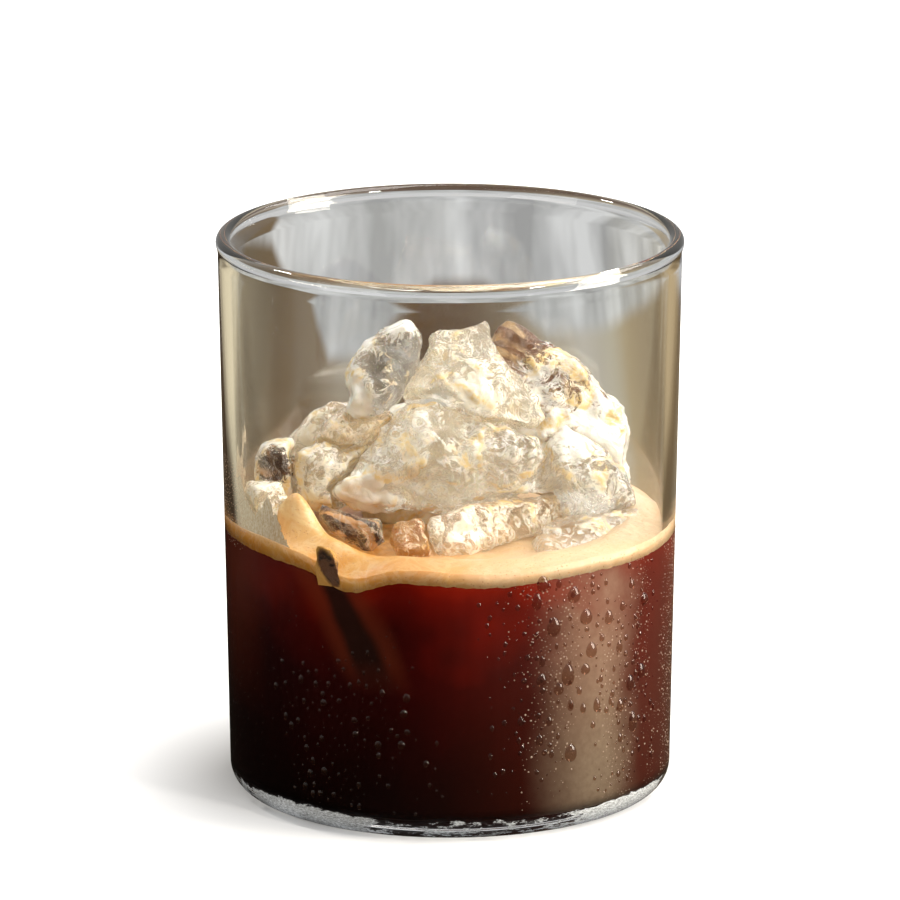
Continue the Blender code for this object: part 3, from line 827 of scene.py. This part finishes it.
class ESPRESSO_OT_stage(bpy.types.Operator):
    """Makes the pale floor, the studio light and the camera"""

    bl_idname = "espresso.stage"
    bl_label = "Stage"

    def execute(self, context):
        scene = context.scene
        for old in [o for o in scene.objects if o.name in ("Cube", "Light", "Camera")]:
            bpy.data.objects.remove(old)
        settings = scene.espresso.stage
        self.make_camera(scene, settings)
        self.make_floor()
        self.make_world(scene)
        warm, plain = (1.0, 0.92, 0.80), (1.0, 0.97, 0.93)
        for name, place, size, power, colour in (
            ("key_softbox", (0.60, -0.10, 0.30), (0.30, 0.50), settings.key, warm),
            ("overhead_softbox", (0.30, 0.16, 0.66), (0.6, 0.5), settings.overhead, plain),
            ("right_glint", (0.46, -0.42, 0.60), (0.08, 0.10), settings.glint, plain),
            ("left_glint", (-0.40, 0.30, 0.60), (0.08, 0.08), settings.back_glint, plain),
            ("fill_softbox", (-0.60, -0.45, 0.45), (0.5, 0.5), settings.fill, plain),
        ):
            lamp = soft_area_light(name, place, size, power, colour)
            lamp.visible_glossy = name != "fill_softbox"
        scene.view_settings.view_transform = "Standard"
        scene.view_settings.look = "None"
        scene.cycles.max_bounces = 18
        scene.cycles.transmission_bounces = 16
        scene.cycles.glossy_bounces = 6
        scene.cycles.diffuse_bounces = 3
        scene.cycles.transparent_max_bounces = 24
        scene.cycles.caustics_reflective = False
        scene.cycles.caustics_refractive = False
        return {"FINISHED"}

    def make_camera(self, scene, settings):
        data = bpy.data.cameras.new("camera")
        data.lens = settings.lens
        data.sensor_width = 36.0
        data.clip_start, data.clip_end = 0.05, 20.0
        camera = put_in_scene("camera", data)
        back = Vector((0.0, -math.cos(CAMERA_PITCH), math.sin(CAMERA_PITCH)))
        camera.location = Vector((0.0, 0.0, CAMERA_AIM_HEIGHT)) + back * CAMERA_DISTANCE
        camera.rotation_euler = (math.pi / 2 - CAMERA_PITCH + CAMERA_AIM_TILT, 0.0, 0.0)
        scene.camera = camera

    def make_floor(self):
        """A white floor whose own painted glow grows away from the glass, so that its soft shadow shows only
        close by; the glass shows it as the dim, brownish backdrop of a studio, a painted glow.
        """
        bm = bmesh.new()
        bmesh.ops.create_grid(bm, x_segments=1, y_segments=1, size=FLOOR_REACH)
        floor = put_in_scene("floor", mesh_from("floor", bm))
        material, shade, shader = new_material("white_floor")
        where = shade.where()
        across, away, _ = shade.axes(where)
        near = shade.ramp(shade.steps(across, -NEAR_HALF_WIDTH, NEAR_HALF_WIDTH), NEAR_BACKDROP)
        streaks = shade.noise(shade.stretched((1.0, 0.06, 1.0)), 60.0, 3.0, 0.6)
        far = shade.ramp(streaks, [(0.36, grey(0.36)), (0.50, grey(0.52)), (0.64, grey(0.70))])
        ends = [(place, grey(distance)) for place, distance in NEAR_ENDS]
        end = shade.ramp(shade.steps(across, -FAR_HALF_WIDTH, FAR_HALF_WIDTH), ends)
        end = shade.fed("ShaderNodeSeparateColor", Color=end).outputs[0]
        behind = shade.mix(shade.ease(shade.minus(away, end), -0.006, 0.016), near, far)
        front = shade.mix(shade.ease(across, -0.10, 0.03), (0.22, 0.160, 0.110), (0.78, 0.70, 0.56))
        seen = shade.mix(shade.ease(away, 0.02, 0.08), front, behind)
        # Painted light: the floor's own glow grows away from the glass, so that the shadow shows only close
        # to it
        under_heap = shade.distance(where, (-0.004, 0.008, 0.0))
        close = shade.steps(under_heap, 0.033, 0.052, 0.0, 0.45)
        lit = shade.plus(close, shade.steps(under_heap, 0.052, 0.30, 0.0, 0.55))
        shade.feed(shader, Base_Color=(0.56, 0.56, 0.56, 1.0), Roughness=0.9, Specular_IOR_Level=0.0)
        shade.feed(shader, Emission_Color=shade.mix(lit, grey(0.0), grey(1.0)), Emission_Strength=1.0)
        # Painted glow of the floor under the foot, in blotches, as the foot shows it
        blots = shade.noise(where, 90.0, 4.0, 0.6)
        stops = [(0.38, grey(0.10)), (0.50, (0.50, 0.51, 0.52)), (0.60, (0.85, 0.86, 0.88))]
        under = shade.ramp(blots, stops)
        seen = shade.mix(shade.ease(shade.distance(where, FOOT_MIDDLE), 0.040, 0.050), under, seen)
        # Painted reflection: what the glass mirrors, dark in front and paler beside and behind
        low = shade.mix(shade.ease(across, -0.05, 0.10), (0.010, 0.008, 0.006), (0.12, 0.09, 0.06))
        beside = shade.ease(shade.absolute(across), 0.22, 0.34)
        low = shade.mix(beside, low, (0.34, 0.31, 0.27))
        low = shade.mix(shade.ease(away, 0.15, 0.22), low, behind)
        seen = shade.mix(shade.mirrored(), seen, low)
        glow = shade.fed("ShaderNodeEmission", Color=seen, Strength=1.0)
        camera_ray = shade.add("ShaderNodeLightPath").outputs["Is Camera Ray"]
        shade.show(shade.either(camera_ray, glow.outputs[0], shader.outputs[0]))
        floor.data.materials.append(material)

    def make_world(self, scene):
        """Light from all round, brighter from above, and dark where the glass mirrors the low studio."""
        world = bpy.data.worlds.new("studio")
        scene.world = world
        world.use_nodes = True
        shade = Shade(world.node_tree)
        ground = world.node_tree.nodes["Background"]
        x, y, z = shade.axes(shade.add("ShaderNodeTexCoord").outputs["Generated"])
        height = shade.ease(z, 0.0, 0.9)
        behind = shade.ease(y, 0.2, 0.8)
        left = shade.ease(x, -0.9, -0.2)
        sky = shade.mix(height, (0.20, 0.19, 0.18), (0.55, 0.53, 0.50))
        through = shade.mix(left, (0.26, 0.20, 0.14), (0.80, 0.76, 0.68))
        through = shade.mix(height, through, (0.95, 0.92, 0.86))
        through = shade.mix(behind, through, (0.62, 0.62, 0.63))
        sides = shade.ease(shade.absolute(x), 0.45, 0.85)
        low = shade.mix(sides, (0.02, 0.018, 0.016), (0.38, 0.35, 0.31))
        low = shade.mix(shade.ease(y, 0.35, 0.8), low, (0.46, 0.45, 0.43))
        low = shade.mix(height, low, (0.70, 0.68, 0.64))
        transmitted = shade.add("ShaderNodeLightPath").outputs["Is Transmission Ray"]
        seen = shade.mix(transmitted, sky, through)
        shade.feed(ground, Color=shade.mix(shade.mirrored(), seen, low), Strength=1.0)


class ESPRESSO_OT_glass(bpy.types.Operator):
    """Turns the tumbler: recessed foot, round heel, thin wall and a rounded rim bead"""

    bl_idname = "espresso.glass"
    bl_label = "Tumbler"

    def execute(self, context):
        settings = context.scene.espresso.glass
        bead = settings.bead / 2
        heel = (wall_radius(HEEL_RADIUS) - HEEL_RADIUS, HEEL_RADIUS)
        corner_height = FLOOR_HEIGHT + FLOOR_CORNER
        corner = (bore_radius(corner_height) - FLOOR_CORNER, corner_height)
        profile = [(0.0, RECESS_DEPTH), (RECESS_RADIUS * 0.97, RECESS_DEPTH)]
        for slope, share in ((0.0, 0.93), (0.8, 0.12), (1.1, 0.0)):
            profile.append((RECESS_RADIUS + RECESS_SLOPE * slope, RECESS_DEPTH * share))
        profile += arc(heel, HEEL_RADIUS, -90, 0, 14)
        profile += [(wall_radius(height), height) for height in self.wall_heights(HEEL_RADIUS)]
        profile += arc((RIM_RADIUS - bead, GLASS_HEIGHT - bead), bead, -35, 215, 22)
        profile += [(bore_radius(height), height) for height in reversed(self.wall_heights(corner_height))]
        profile += arc(corner, FLOOR_CORNER, 0, -90, 10)
        profile += [(reach, FLOOR_HEIGHT) for reach in (corner[0] - 0.2 * MM, corner[0] * 0.6, 0.0)]
        bm = bmesh.new()
        join_rings(bm, [ring_of(bm, *point, settings.sides) for point in profile], settings.sides)
        mesh = mesh_from("tumbler", bm)
        finish = clear_finish("clear_glass", settings.tint, 1.5, (0.94, 0.94, 0.93))
        add_piece("tumbler", mesh, ["glass"], finish)
        mesh.set_sharp_from_angle(angle=math.radians(32))
        return {"FINISHED"}

    def wall_heights(self, start):
        """Rings along the straight wall, close together at its ends, so that its shading stays straight."""
        end = GLASS_HEIGHT - RIM_THICKNESS * 1.15
        span = end - start
        return [start + span * share for share in (0.004, 0.02, 0.1, 0.3, 0.5, 0.7, 0.9, 0.98, 1.0)]


class ESPRESSO_OT_coffee(bpy.types.Operator):
    """Pours the coffee up to its wavy line under the foam"""

    bl_idname = "espresso.coffee"
    bl_label = "Coffee"

    def execute(self, context):
        settings = context.scene.espresso.drink
        steps = 240
        floor = FLOOR_HEIGHT - WALL_BITE
        corner = FLOOR_CORNER
        height = floor + corner
        radius = bore_radius(height) + WALL_BITE - corner
        bm = bmesh.new()
        rings = [[bm.verts.new((0.0, 0.0, coffee_top(0.0, 0.0)))]]
        for share in (0.4, 0.7, 0.85, 0.92, 0.96, 1.0):
            ring = []
            for k in range(steps):
                angle = math.tau * k / steps
                reach = share * (bore_radius(COFFEE_LEVEL) + WALL_BITE)
                x, y = reach * math.cos(angle), reach * math.sin(angle)
                ring.append(bm.verts.new((x, y, ragged_top(x, y, share, settings.raggedness))))
            rings.append(ring)
        below = [(0.0, floor)] + arc((radius, height), corner, -90, 0, 8)
        rings += [ring_of(bm, reach, level, steps) for reach, level in reversed(below)]
        join_rings(bm, rings, steps)
        finish = coffee_finish(settings)
        add_piece("coffee_fill", mesh_from("coffee_fill", bm), ["coffee"], finish)
        return {"FINISHED"}


class ESPRESSO_OT_crema(bpy.types.Operator):
    """Spreads the foam, with its lip and the folds that climb the ice"""

    bl_idname = "espresso.crema"
    bl_label = "Foam"

    def execute(self, context):
        settings = context.scene.espresso.drink
        steps = 360
        bands = 90
        bm = bmesh.new()
        edge = bore_radius(COFFEE_LEVEL) + WALL_BITE
        top, bottom = [], []
        for band in range(bands + 1):
            share = (band / bands) ** 0.8
            upper, lower = [], []
            for k in range(steps if band else 1):
                angle = math.tau * k / steps
                x, y = share * edge * math.cos(angle), share * edge * math.sin(angle)
                point = Vector((x, y, 0.0))
                rough = 0.30 * MM * noise.noise(point * 160.0) + 0.12 * MM * noise.noise(point * 480.0)
                upper.append(bm.verts.new((x, y, crema_top(x, y) + rough)))
                lower.append(bm.verts.new((x, y, ragged_top(x, y, share, settings.raggedness))))
            top.append(upper)
            bottom.append(lower)
        join_rings(bm, top + bottom[::-1], steps)
        finish = crema_finish(settings)
        add_piece("foam_layer", mesh_from("foam_layer", bm), ["crema"], finish)
        return {"FINISHED"}


class ESPRESSO_OT_ice(bpy.types.Operator):
    """Breaks each lump of ice out of its solid, with knobs, ripples and crisp chips"""

    bl_idname = "espresso.ice"
    bl_label = "Ice"

    def execute(self, context):
        settings = context.scene.espresso.ice
        finishes = {kind: ice_finish(kind) for kind in sorted({row[0] for row in ICE.values()})}
        film = film_finish()
        tree = broken_ice_tree()
        for node, (kind, knobs, cover, tone, spots) in ICE.items():
            lump = frame["nodes"][node].data.copy()
            bm = bmesh.new()
            bm.from_mesh(lump)
            bmesh.ops.remove_doubles(bm, verts=bm.verts, dist=0.002 * MM)
            bm.to_mesh(lump)
            bm.free()
            inputs = {
                "Finish": finishes[kind],
                "Grain": settings.grain,
                "Ridge height": settings.ridges,
                "Knob height": knobs * MM,
                "Ripple height": settings.ripples,
            }
            mesh = grown_mesh(lump, tree, inputs)
            if node == "ice_wall_blade":
                press_to_wall(mesh)
            add_piece("broken_" + node, mesh, [node], finishes[kind])
            if cover > 0.0:
                name = "film_on_" + node
                skin = film_mesh(name, mesh, cover, getattr(settings, tone), spots, settings.film_rise)
                add_piece(name, skin, [], film)
        return {"FINISHED"}


def press_to_wall(mesh):
    """Moves the outer face of a piece just into the wall, as the drink is, so that it shows there.

    Points within 1.5 mm of the wall move out by up to 1.2 mm, and what is sunk in coffee stays inside.
    """
    for vert in mesh.vertices:
        out = math.hypot(vert.co.x, vert.co.y)
        wall = bore_radius(vert.co.z)
        near = min(1.0, max(0.0, (out - wall + 3.0 * MM) / (1.5 * MM)))
        sunk = min(1.0, max(0.0, (BLADE_LEVEL - vert.co.z) / BLADE_SINK))
        reach = min(out + 1.2 * MM * near, wall + WALL_BITE + (0.12 - 0.60 * sunk) * MM)
        vert.co.x *= reach / out
        vert.co.y *= reach / out


def sight_up(place):
    """How high a point stands in the picture, in millimetres from the middle of the drink's surface."""
    return ((place.z - SURFACE_HEIGHT) * math.cos(CAMERA_PITCH) + place.y * math.sin(CAMERA_PITCH)) / MM


def film_mesh(name, ice, cover, tone, spots, rise):
    """The foam that clings to a lump: its surface, a little outside it, with how far foam covers it."""
    bm = bmesh.new()
    bm.from_mesh(ice)
    layer = bm.verts.layers.float.new("cover")
    colour = bm.verts.layers.float_color.new("tone")
    bm.normal_update()
    moves = [vert.normal * rise for vert in bm.verts]
    for vert, move in zip(bm.verts, moves):
        share = cover
        for across, up, radius, change in spots:
            far = math.hypot(vert.co.x / MM - across, sight_up(vert.co) - up)
            share += change * bell(far, radius)
        vert[layer] = min(1.0, max(0.0, share))
        vert[colour] = (*tone, 1.0)
        vert.co += move
    bare = [face for face in bm.faces if all(vert[layer] < 0.02 for vert in face.verts)]
    bmesh.ops.delete(bm, geom=bare, context="FACES")
    return mesh_from(name, bm, closed=False)


def grown_mesh(mesh, tree, inputs):
    """Runs a Geometry Nodes tree over a mesh and gives back the plain mesh that it makes."""
    helper = put_in_scene("helper", mesh)
    modifier = helper.modifiers.new("grow", "NODES")
    modifier.node_group = tree
    for item in tree.interface.items_tree:
        if item.item_type == "SOCKET" and item.in_out == "INPUT" and item.name in inputs:
            modifier[item.identifier] = inputs[item.name]
    bpy.context.view_layer.update()
    made = bpy.data.meshes.new_from_object(helper.evaluated_get(bpy.context.evaluated_depsgraph_get()))
    bpy.data.objects.remove(helper)
    if not made.polygons:
        raise RuntimeError("nothing came out of " + mesh.name)
    return made


def typed(sockets, kind):
    """The sockets of one type, on a node that has several types under one name."""
    return [socket for socket in sockets if socket.type == kind]


def finish_tree(shade, geometry, finish, result):
    """The last nodes of a tree: instances made real and the material set."""
    realize = shade.add("GeometryNodeRealizeInstances")
    shade.link(geometry, realize.inputs[0])
    paint = shade.fed("GeometryNodeSetMaterial", Geometry=realize.outputs[0], Material=finish)
    shade.link(paint.outputs[0], result.inputs[0])
    return shade.tree


def broken_ice_tree():
    """Geometry Nodes that turn a plain lump into broken, half-melted ice."""
    heights = ("Ridge height", "Knob height", "Ripple height")
    inputs = {"Geometry": "Geometry", "Finish": "Material", "Grain": "Float"}
    inputs.update(dict.fromkeys(heights, "Float"))
    shade, source, result = new_tree("broken_ice", "GeometryNodeTree", inputs, {"Geometry": "Geometry"})
    voxels = {"resolution_mode": "VOXEL_SIZE"}
    grain = source["Grain"]
    volume = shade.fed("GeometryNodeMeshToVolume", voxels, Mesh=source["Geometry"], Voxel_Size=grain)
    surface = shade.fed("GeometryNodeVolumeToMesh", voxels, Volume=volume.outputs[0], Voxel_Size=grain)
    shade.feed(surface, Threshold=0.1)
    position = shade.add("GeometryNodeInputPosition").outputs[0]
    blur = shade.fed("GeometryNodeBlurAttribute", {"data_type": "FLOAT_VECTOR"}, Iterations=3)
    shade.link(position, typed(blur.inputs, "VECTOR")[0])
    softened = typed(blur.outputs, "VECTOR")[0]
    soften = shade.fed("GeometryNodeSetPosition", Geometry=surface.outputs[0], Position=softened)

    # Sharp ridges, round knobs and melted ripples, each with its gain
    ridges = shade.absolute(shade.minus(shade.noise(position, 150.0, 3.0, 0.5, 0.8), 0.5))
    rounded = {"feature": "SMOOTH_F1"}
    cells = shade.fed("ShaderNodeTexVoronoi", rounded, Vector=position, Scale=330.0, Smoothness=0.6)
    forms = (
        (shade.minus(0.12, ridges), 6.0),
        (shade.minus(0.42, cells.outputs["Distance"]), 1.6),
        (shade.minus(shade.noise(position, 900.0, 3.0, 0.5, 0.6), 0.5), 3.0),
    )
    total = 0.0
    for (form, gain), height in zip(forms, heights):
        total = shade.plus(total, shade.times(form, gain, source[height]))
    push = shade.scaled(shade.add("GeometryNodeInputNormal").outputs[0], total)
    move = shade.fed("GeometryNodeSetPosition", Geometry=soften.outputs[0], Offset=push)
    return finish_tree(shade, move.outputs[0], source["Finish"], result)


def drop_mesh(name, around, rings, sag):
    """A drop clinging to an upright wall: an open dome one unit across, fuller below."""
    bm = bmesh.new()
    levels = [[bm.verts.new((0.0, -sag * 0.1, 0.21 * (1.0 + 0.25 * sag)))]]
    for ring in range(1, rings + 1):
        tilt = math.pi / 2 * ring / rings
        out, rise = math.sin(tilt), math.cos(tilt)
        level = []
        for k in range(around):
            angle = math.tau * k / around
            y = out * math.sin(angle)
            narrow = 1.0 - 0.28 * sag * (y + 1.0) * 0.5
            x = out * math.cos(angle) * narrow
            full = 1.0 + 0.5 * sag * (1.0 - y) * 0.5
            long = y * (0.5 + 0.15 * sag) - sag * 0.1 * rise
            level.append(bm.verts.new((x * 0.5, long, rise * 0.42 * full * 0.5)))
        levels.append(level)
    join_rings(bm, levels, around)
    return mesh_from(name, bm)


def dew_tree():
    """Geometry Nodes that scatter drops over a stretch of wall, upright and of uneven size."""
    inputs = {"Geometry": "Geometry", "Drop": "Object", "Finish": "Material", "Seed": "Int"}
    inputs.update(dict.fromkeys(("Spacing", "Density", "Smallest", "Largest", "Clumping", "Skew"), "Float"))
    shade, source, result = new_tree("dew_on_glass", "GeometryNodeTree", inputs, {"Geometry": "Geometry"})
    clump = shade.noise(shade.add("GeometryNodeInputPosition").outputs[0], 130.0, 2.0)
    thinning = shade.fed("GeometryNodeInputNamedAttribute", {"data_type": "FLOAT"}, Name="thinning")
    patchy = shade.math("GREATER_THAN", clump, source["Clumping"])
    density = shade.times(patchy, thinning.outputs["Attribute"])
    scatter = shade.add("GeometryNodeDistributePointsOnFaces", distribute_method="POISSON")
    shade.feed(scatter, Mesh=source["Geometry"], Distance_Min=source["Spacing"], Seed=source["Seed"])
    shade.feed(scatter, Density_Max=source["Density"], Density_Factor=density)
    share = random_between(shade, source["Seed"], "FLOAT", "VALUE", (0.0, 1.0))
    skewed = shade.math("POWER", share, source["Skew"])
    span = shade.minus(source["Largest"], source["Smallest"])
    scale = shade.plus(source["Smallest"], shade.times(skewed, span))
    body = shade.fed("GeometryNodeObjectInfo", Object=source["Drop"])
    turn = "FunctionNodeAlignRotationToVector"
    outward = shade.fed(turn, {"axis": "Z"}, Vector=scatter.outputs["Normal"])
    upright = shade.fed(turn, {"axis": "Y", "pivot_axis": "Z"}, Rotation=outward.outputs["Rotation"])
    shade.feed(upright, Vector=(0.0, 0.0, 1.0))
    limits = ((0.80, 0.80, 0.85), (1.20, 1.15, 1.10))
    uneven = random_between(shade, source["Seed"], "FLOAT_VECTOR", "VECTOR", limits)
    drops = body.outputs["Geometry"]
    place = shade.fed("GeometryNodeInstanceOnPoints", Points=scatter.outputs["Points"], Instance=drops)
    shade.feed(place, Rotation=upright.outputs["Rotation"], Scale=shade.scaled(uneven, scale))
    return finish_tree(shade, place.outputs[0], source["Finish"], result)


def random_between(shade, seed, data_type, kind, limits):
    node = shade.fed("FunctionNodeRandomValue", {"data_type": data_type}, Seed=seed)
    for socket, limit in zip(typed(node.inputs, kind), limits):
        socket.default_value = limit
    return typed(node.outputs, kind)[0]


# Faces round a drop and from its top to its edge, for drops whose largest is over a size in millimetres
DROP_FACES = ((2.0, (18, 6)), (1.0, (10, 4)), (0.0, (7, 2)))

# Stretches of dew: angles round the wall in degrees and heights in millimetres, then the least
# spacing and the sizes in millimetres, how far small ones prevail, how patchy they lie, and their sag
DEW = {
    "dew_large": ((-73.0, -28.0), (14.0, 45.0), 2.7, (0.9, 2.8), 1.6, 0.40, 0.9),
    "dew_medium": ((-84.0, -22.0), (6.0, 45.0), 1.25, (0.30, 1.15), 2.4, 0.43, 0.5),
    "dew_low_left": ((-142.0, -92.0), (5.0, 33.0), 1.4, (0.3, 1.4), 2.4, 0.44, 0.5),
    "mist_right": ((-78.0, 14.0), (4.5, 46.0), 0.50, (0.08, 0.38), 2.6, 0.48, 0.0),
    "dew_fine_left": ((-176.0, -96.0), (5.0, 44.0), 1.1, (0.12, 0.36), 2.0, 0.48, 0.0),
    "mist_high_left": ((-176.0, -152.0), (45.0, 60.0), 0.55, (0.10, 0.28), 1.5, 0.40, 0.0),
}


class ESPRESSO_OT_dew(bpy.types.Operator):
    """Scatters drops of dew over the outside of the tumbler"""

    bl_idname = "espresso.dew"
    bl_label = "Dew"

    def execute(self, context):
        settings = context.scene.espresso.dew
        # Drops show the dark drink behind them, and so look darker than the fogged glass round them: their
        # water is tinted dark, a painted shade for the light of the fog that they lack
        drops = clear_finish("dew", settings.water, 1.45, (0.8, 0.75, 0.7))
        finishes = {"dew": drops, "mist": mist_finish()}
        tree = dew_tree()
        for number, (name, row) in enumerate(DEW.items()):
            angles, (low, high), spacing, (smallest, largest), skew, clumping, sag = row
            around, rings = next(faces for least, faces in DROP_FACES if largest > least)
            finish = finishes[name.split("_")[0]]
            drop = bpy.data.objects.new(name + "_drop", drop_mesh(name + "_drop", around, rings, sag))
            heights = (low * MM, (low * MM + high * MM) / 2, high * MM)
            patch = wall_sheet(name, angles, heights, 40, wall_radius, "thinning", self.thinning)
            inputs = {
                "Drop": drop,
                "Finish": finish,
                "Spacing": spacing * MM,
                "Density": 1.3 / (spacing * MM) ** 2,
                "Smallest": smallest * MM * settings.size,
                "Largest": largest * MM * settings.size,
                "Clumping": clumping,
                "Skew": skew,
                "Seed": number + settings.seed,
            }
            mesh = grown_mesh(patch, tree, inputs)
            bpy.data.objects.remove(drop)
            add_piece(name, mesh, [], finish)
        return {"FINISHED"}

    def thinning(self, along, up):
        """Fewer drops toward both ends of a stretch."""
        return min(1.0, 6.0 * along, 6.0 * (1.0 - along))


def outer_radius(height):
    """The tumbler's outer radius, round heel included."""
    if height >= HEEL_RADIUS:
        return wall_radius(height)
    down = HEEL_RADIUS - height
    return wall_radius(HEEL_RADIUS) - HEEL_RADIUS + math.sqrt(max(0.0, HEEL_RADIUS ** 2 - down ** 2))


class ESPRESSO_OT_films(bpy.types.Operator):
    """Leaves foam on the wall above the drink and a silvery, broken film of water round the foot, which also
    carries the painted sheen that the heel shows at both sides
    """

    bl_idname = "espresso.films"
    bl_label = "Films"

    def execute(self, context):
        settings = context.scene.espresso.glass
        silver = (tuple(settings.frost_sheen_dark), tuple(settings.frost_sheen_light))
        tan = ((0.62, 0.46, 0.28), (0.86, 0.77, 0.60))
        # The film round the foot carries a painted sheen as well as water
        frost_and_sheen = wall_film_finish("foot_frost_and_sheen", 260.0, 3.0, silver, 0.6)
        foam = wall_film_finish("wall_foam", 420.0, 0.5, tan, 0.4)

        def outside(height):
            return outer_radius(height) + 0.03 * MM

        def inside(height):
            return bore_radius(height) - 0.04 * MM

        # Painted sheen: the film is thicker at both sides of the foot, where the heel shows light
        def foot(along, up):
            sides = max(bell(along - 0.26, 0.16), 1.2 * bell(along - 0.80, 0.13), 0.47)
            ends = min(1.0, 9.0 * along, 9.0 * (1.0 - along))
            return sides * ends * min(1.0, (1.0 - up) * 3.5) * 0.95

        def splash(along, up):
            shown = 1.45 * along - 0.45
            top = 0.80 - 0.45 * shown + 0.12 * math.sin(19.0 * shown)
            fade = min(1.0, 3.3 * along, 5.0 * (1.0 - shown))
            return (0.74 + 0.22 * (1.0 - up)) * min(1.0, max(0.0, (top - up) * 6.0 + 0.2)) * fade

        for name, angles, (low, high), radius_at, cover, finish, slot in (
            ("frost_round_foot", (-178.0, -2.0), (0.5, 4.6), outside, foot, frost_and_sheen, "clear_glass"),
            ("foam_on_wall", (-200.0, -132.0), (46.0, 64.0), inside, splash, foam, "coffee_foam"),
        ):
            heights = [(low + (high - low) * j / 36) * MM for j in range(37)]
            sheet = wall_sheet(name, angles, heights, 120, radius_at, "cover", cover)
            add_piece(name, sheet, [], finish)
        return {"FINISHED"}


OPERATORS = (
    ESPRESSO_OT_stage,
    ESPRESSO_OT_glass,
    ESPRESSO_OT_coffee,
    ESPRESSO_OT_crema,
    ESPRESSO_OT_ice,
    ESPRESSO_OT_films,
    ESPRESSO_OT_dew,
)


class ESPRESSO_PT_panel(bpy.types.Panel):
    """Lists the settings and the steps that make the iced espresso"""

    bl_idname = "ESPRESSO_PT_panel"
    bl_label = "Iced espresso"
    bl_space_type = "VIEW_3D"
    bl_region_type = "UI"
    bl_category = "Iced espresso"

    def draw(self, context):
        settings = context.scene.espresso
        for group in (settings.stage, settings.glass, settings.drink, settings.ice, settings.dew):
            box = self.layout.box()
            for name in group.bl_rna.properties.keys():
                if name not in ("rna_type", "name"):
                    box.prop(group, name)
        for operator in OPERATORS:
            self.layout.operator(operator.bl_idname)


CLASSES = (*GROUPS, EspressoSettings, *OPERATORS, ESPRESSO_PT_panel)


def register():
    for cls in CLASSES:
        bpy.utils.register_class(cls)
    bpy.types.Scene.espresso = bpy.props.PointerProperty(type=EspressoSettings)


def unregister():
    del bpy.types.Scene.espresso
    for cls in reversed(CLASSES):
        bpy.utils.unregister_class(cls)


def main():
    register()
    bpy.ops.espresso.stage()
    bpy.ops.espresso.glass()
    bpy.ops.espresso.coffee()
    bpy.ops.espresso.crema()
    bpy.ops.espresso.ice()
    bpy.ops.espresso.films()
    bpy.ops.espresso.dew()


if __name__ == "__main__":
    main()
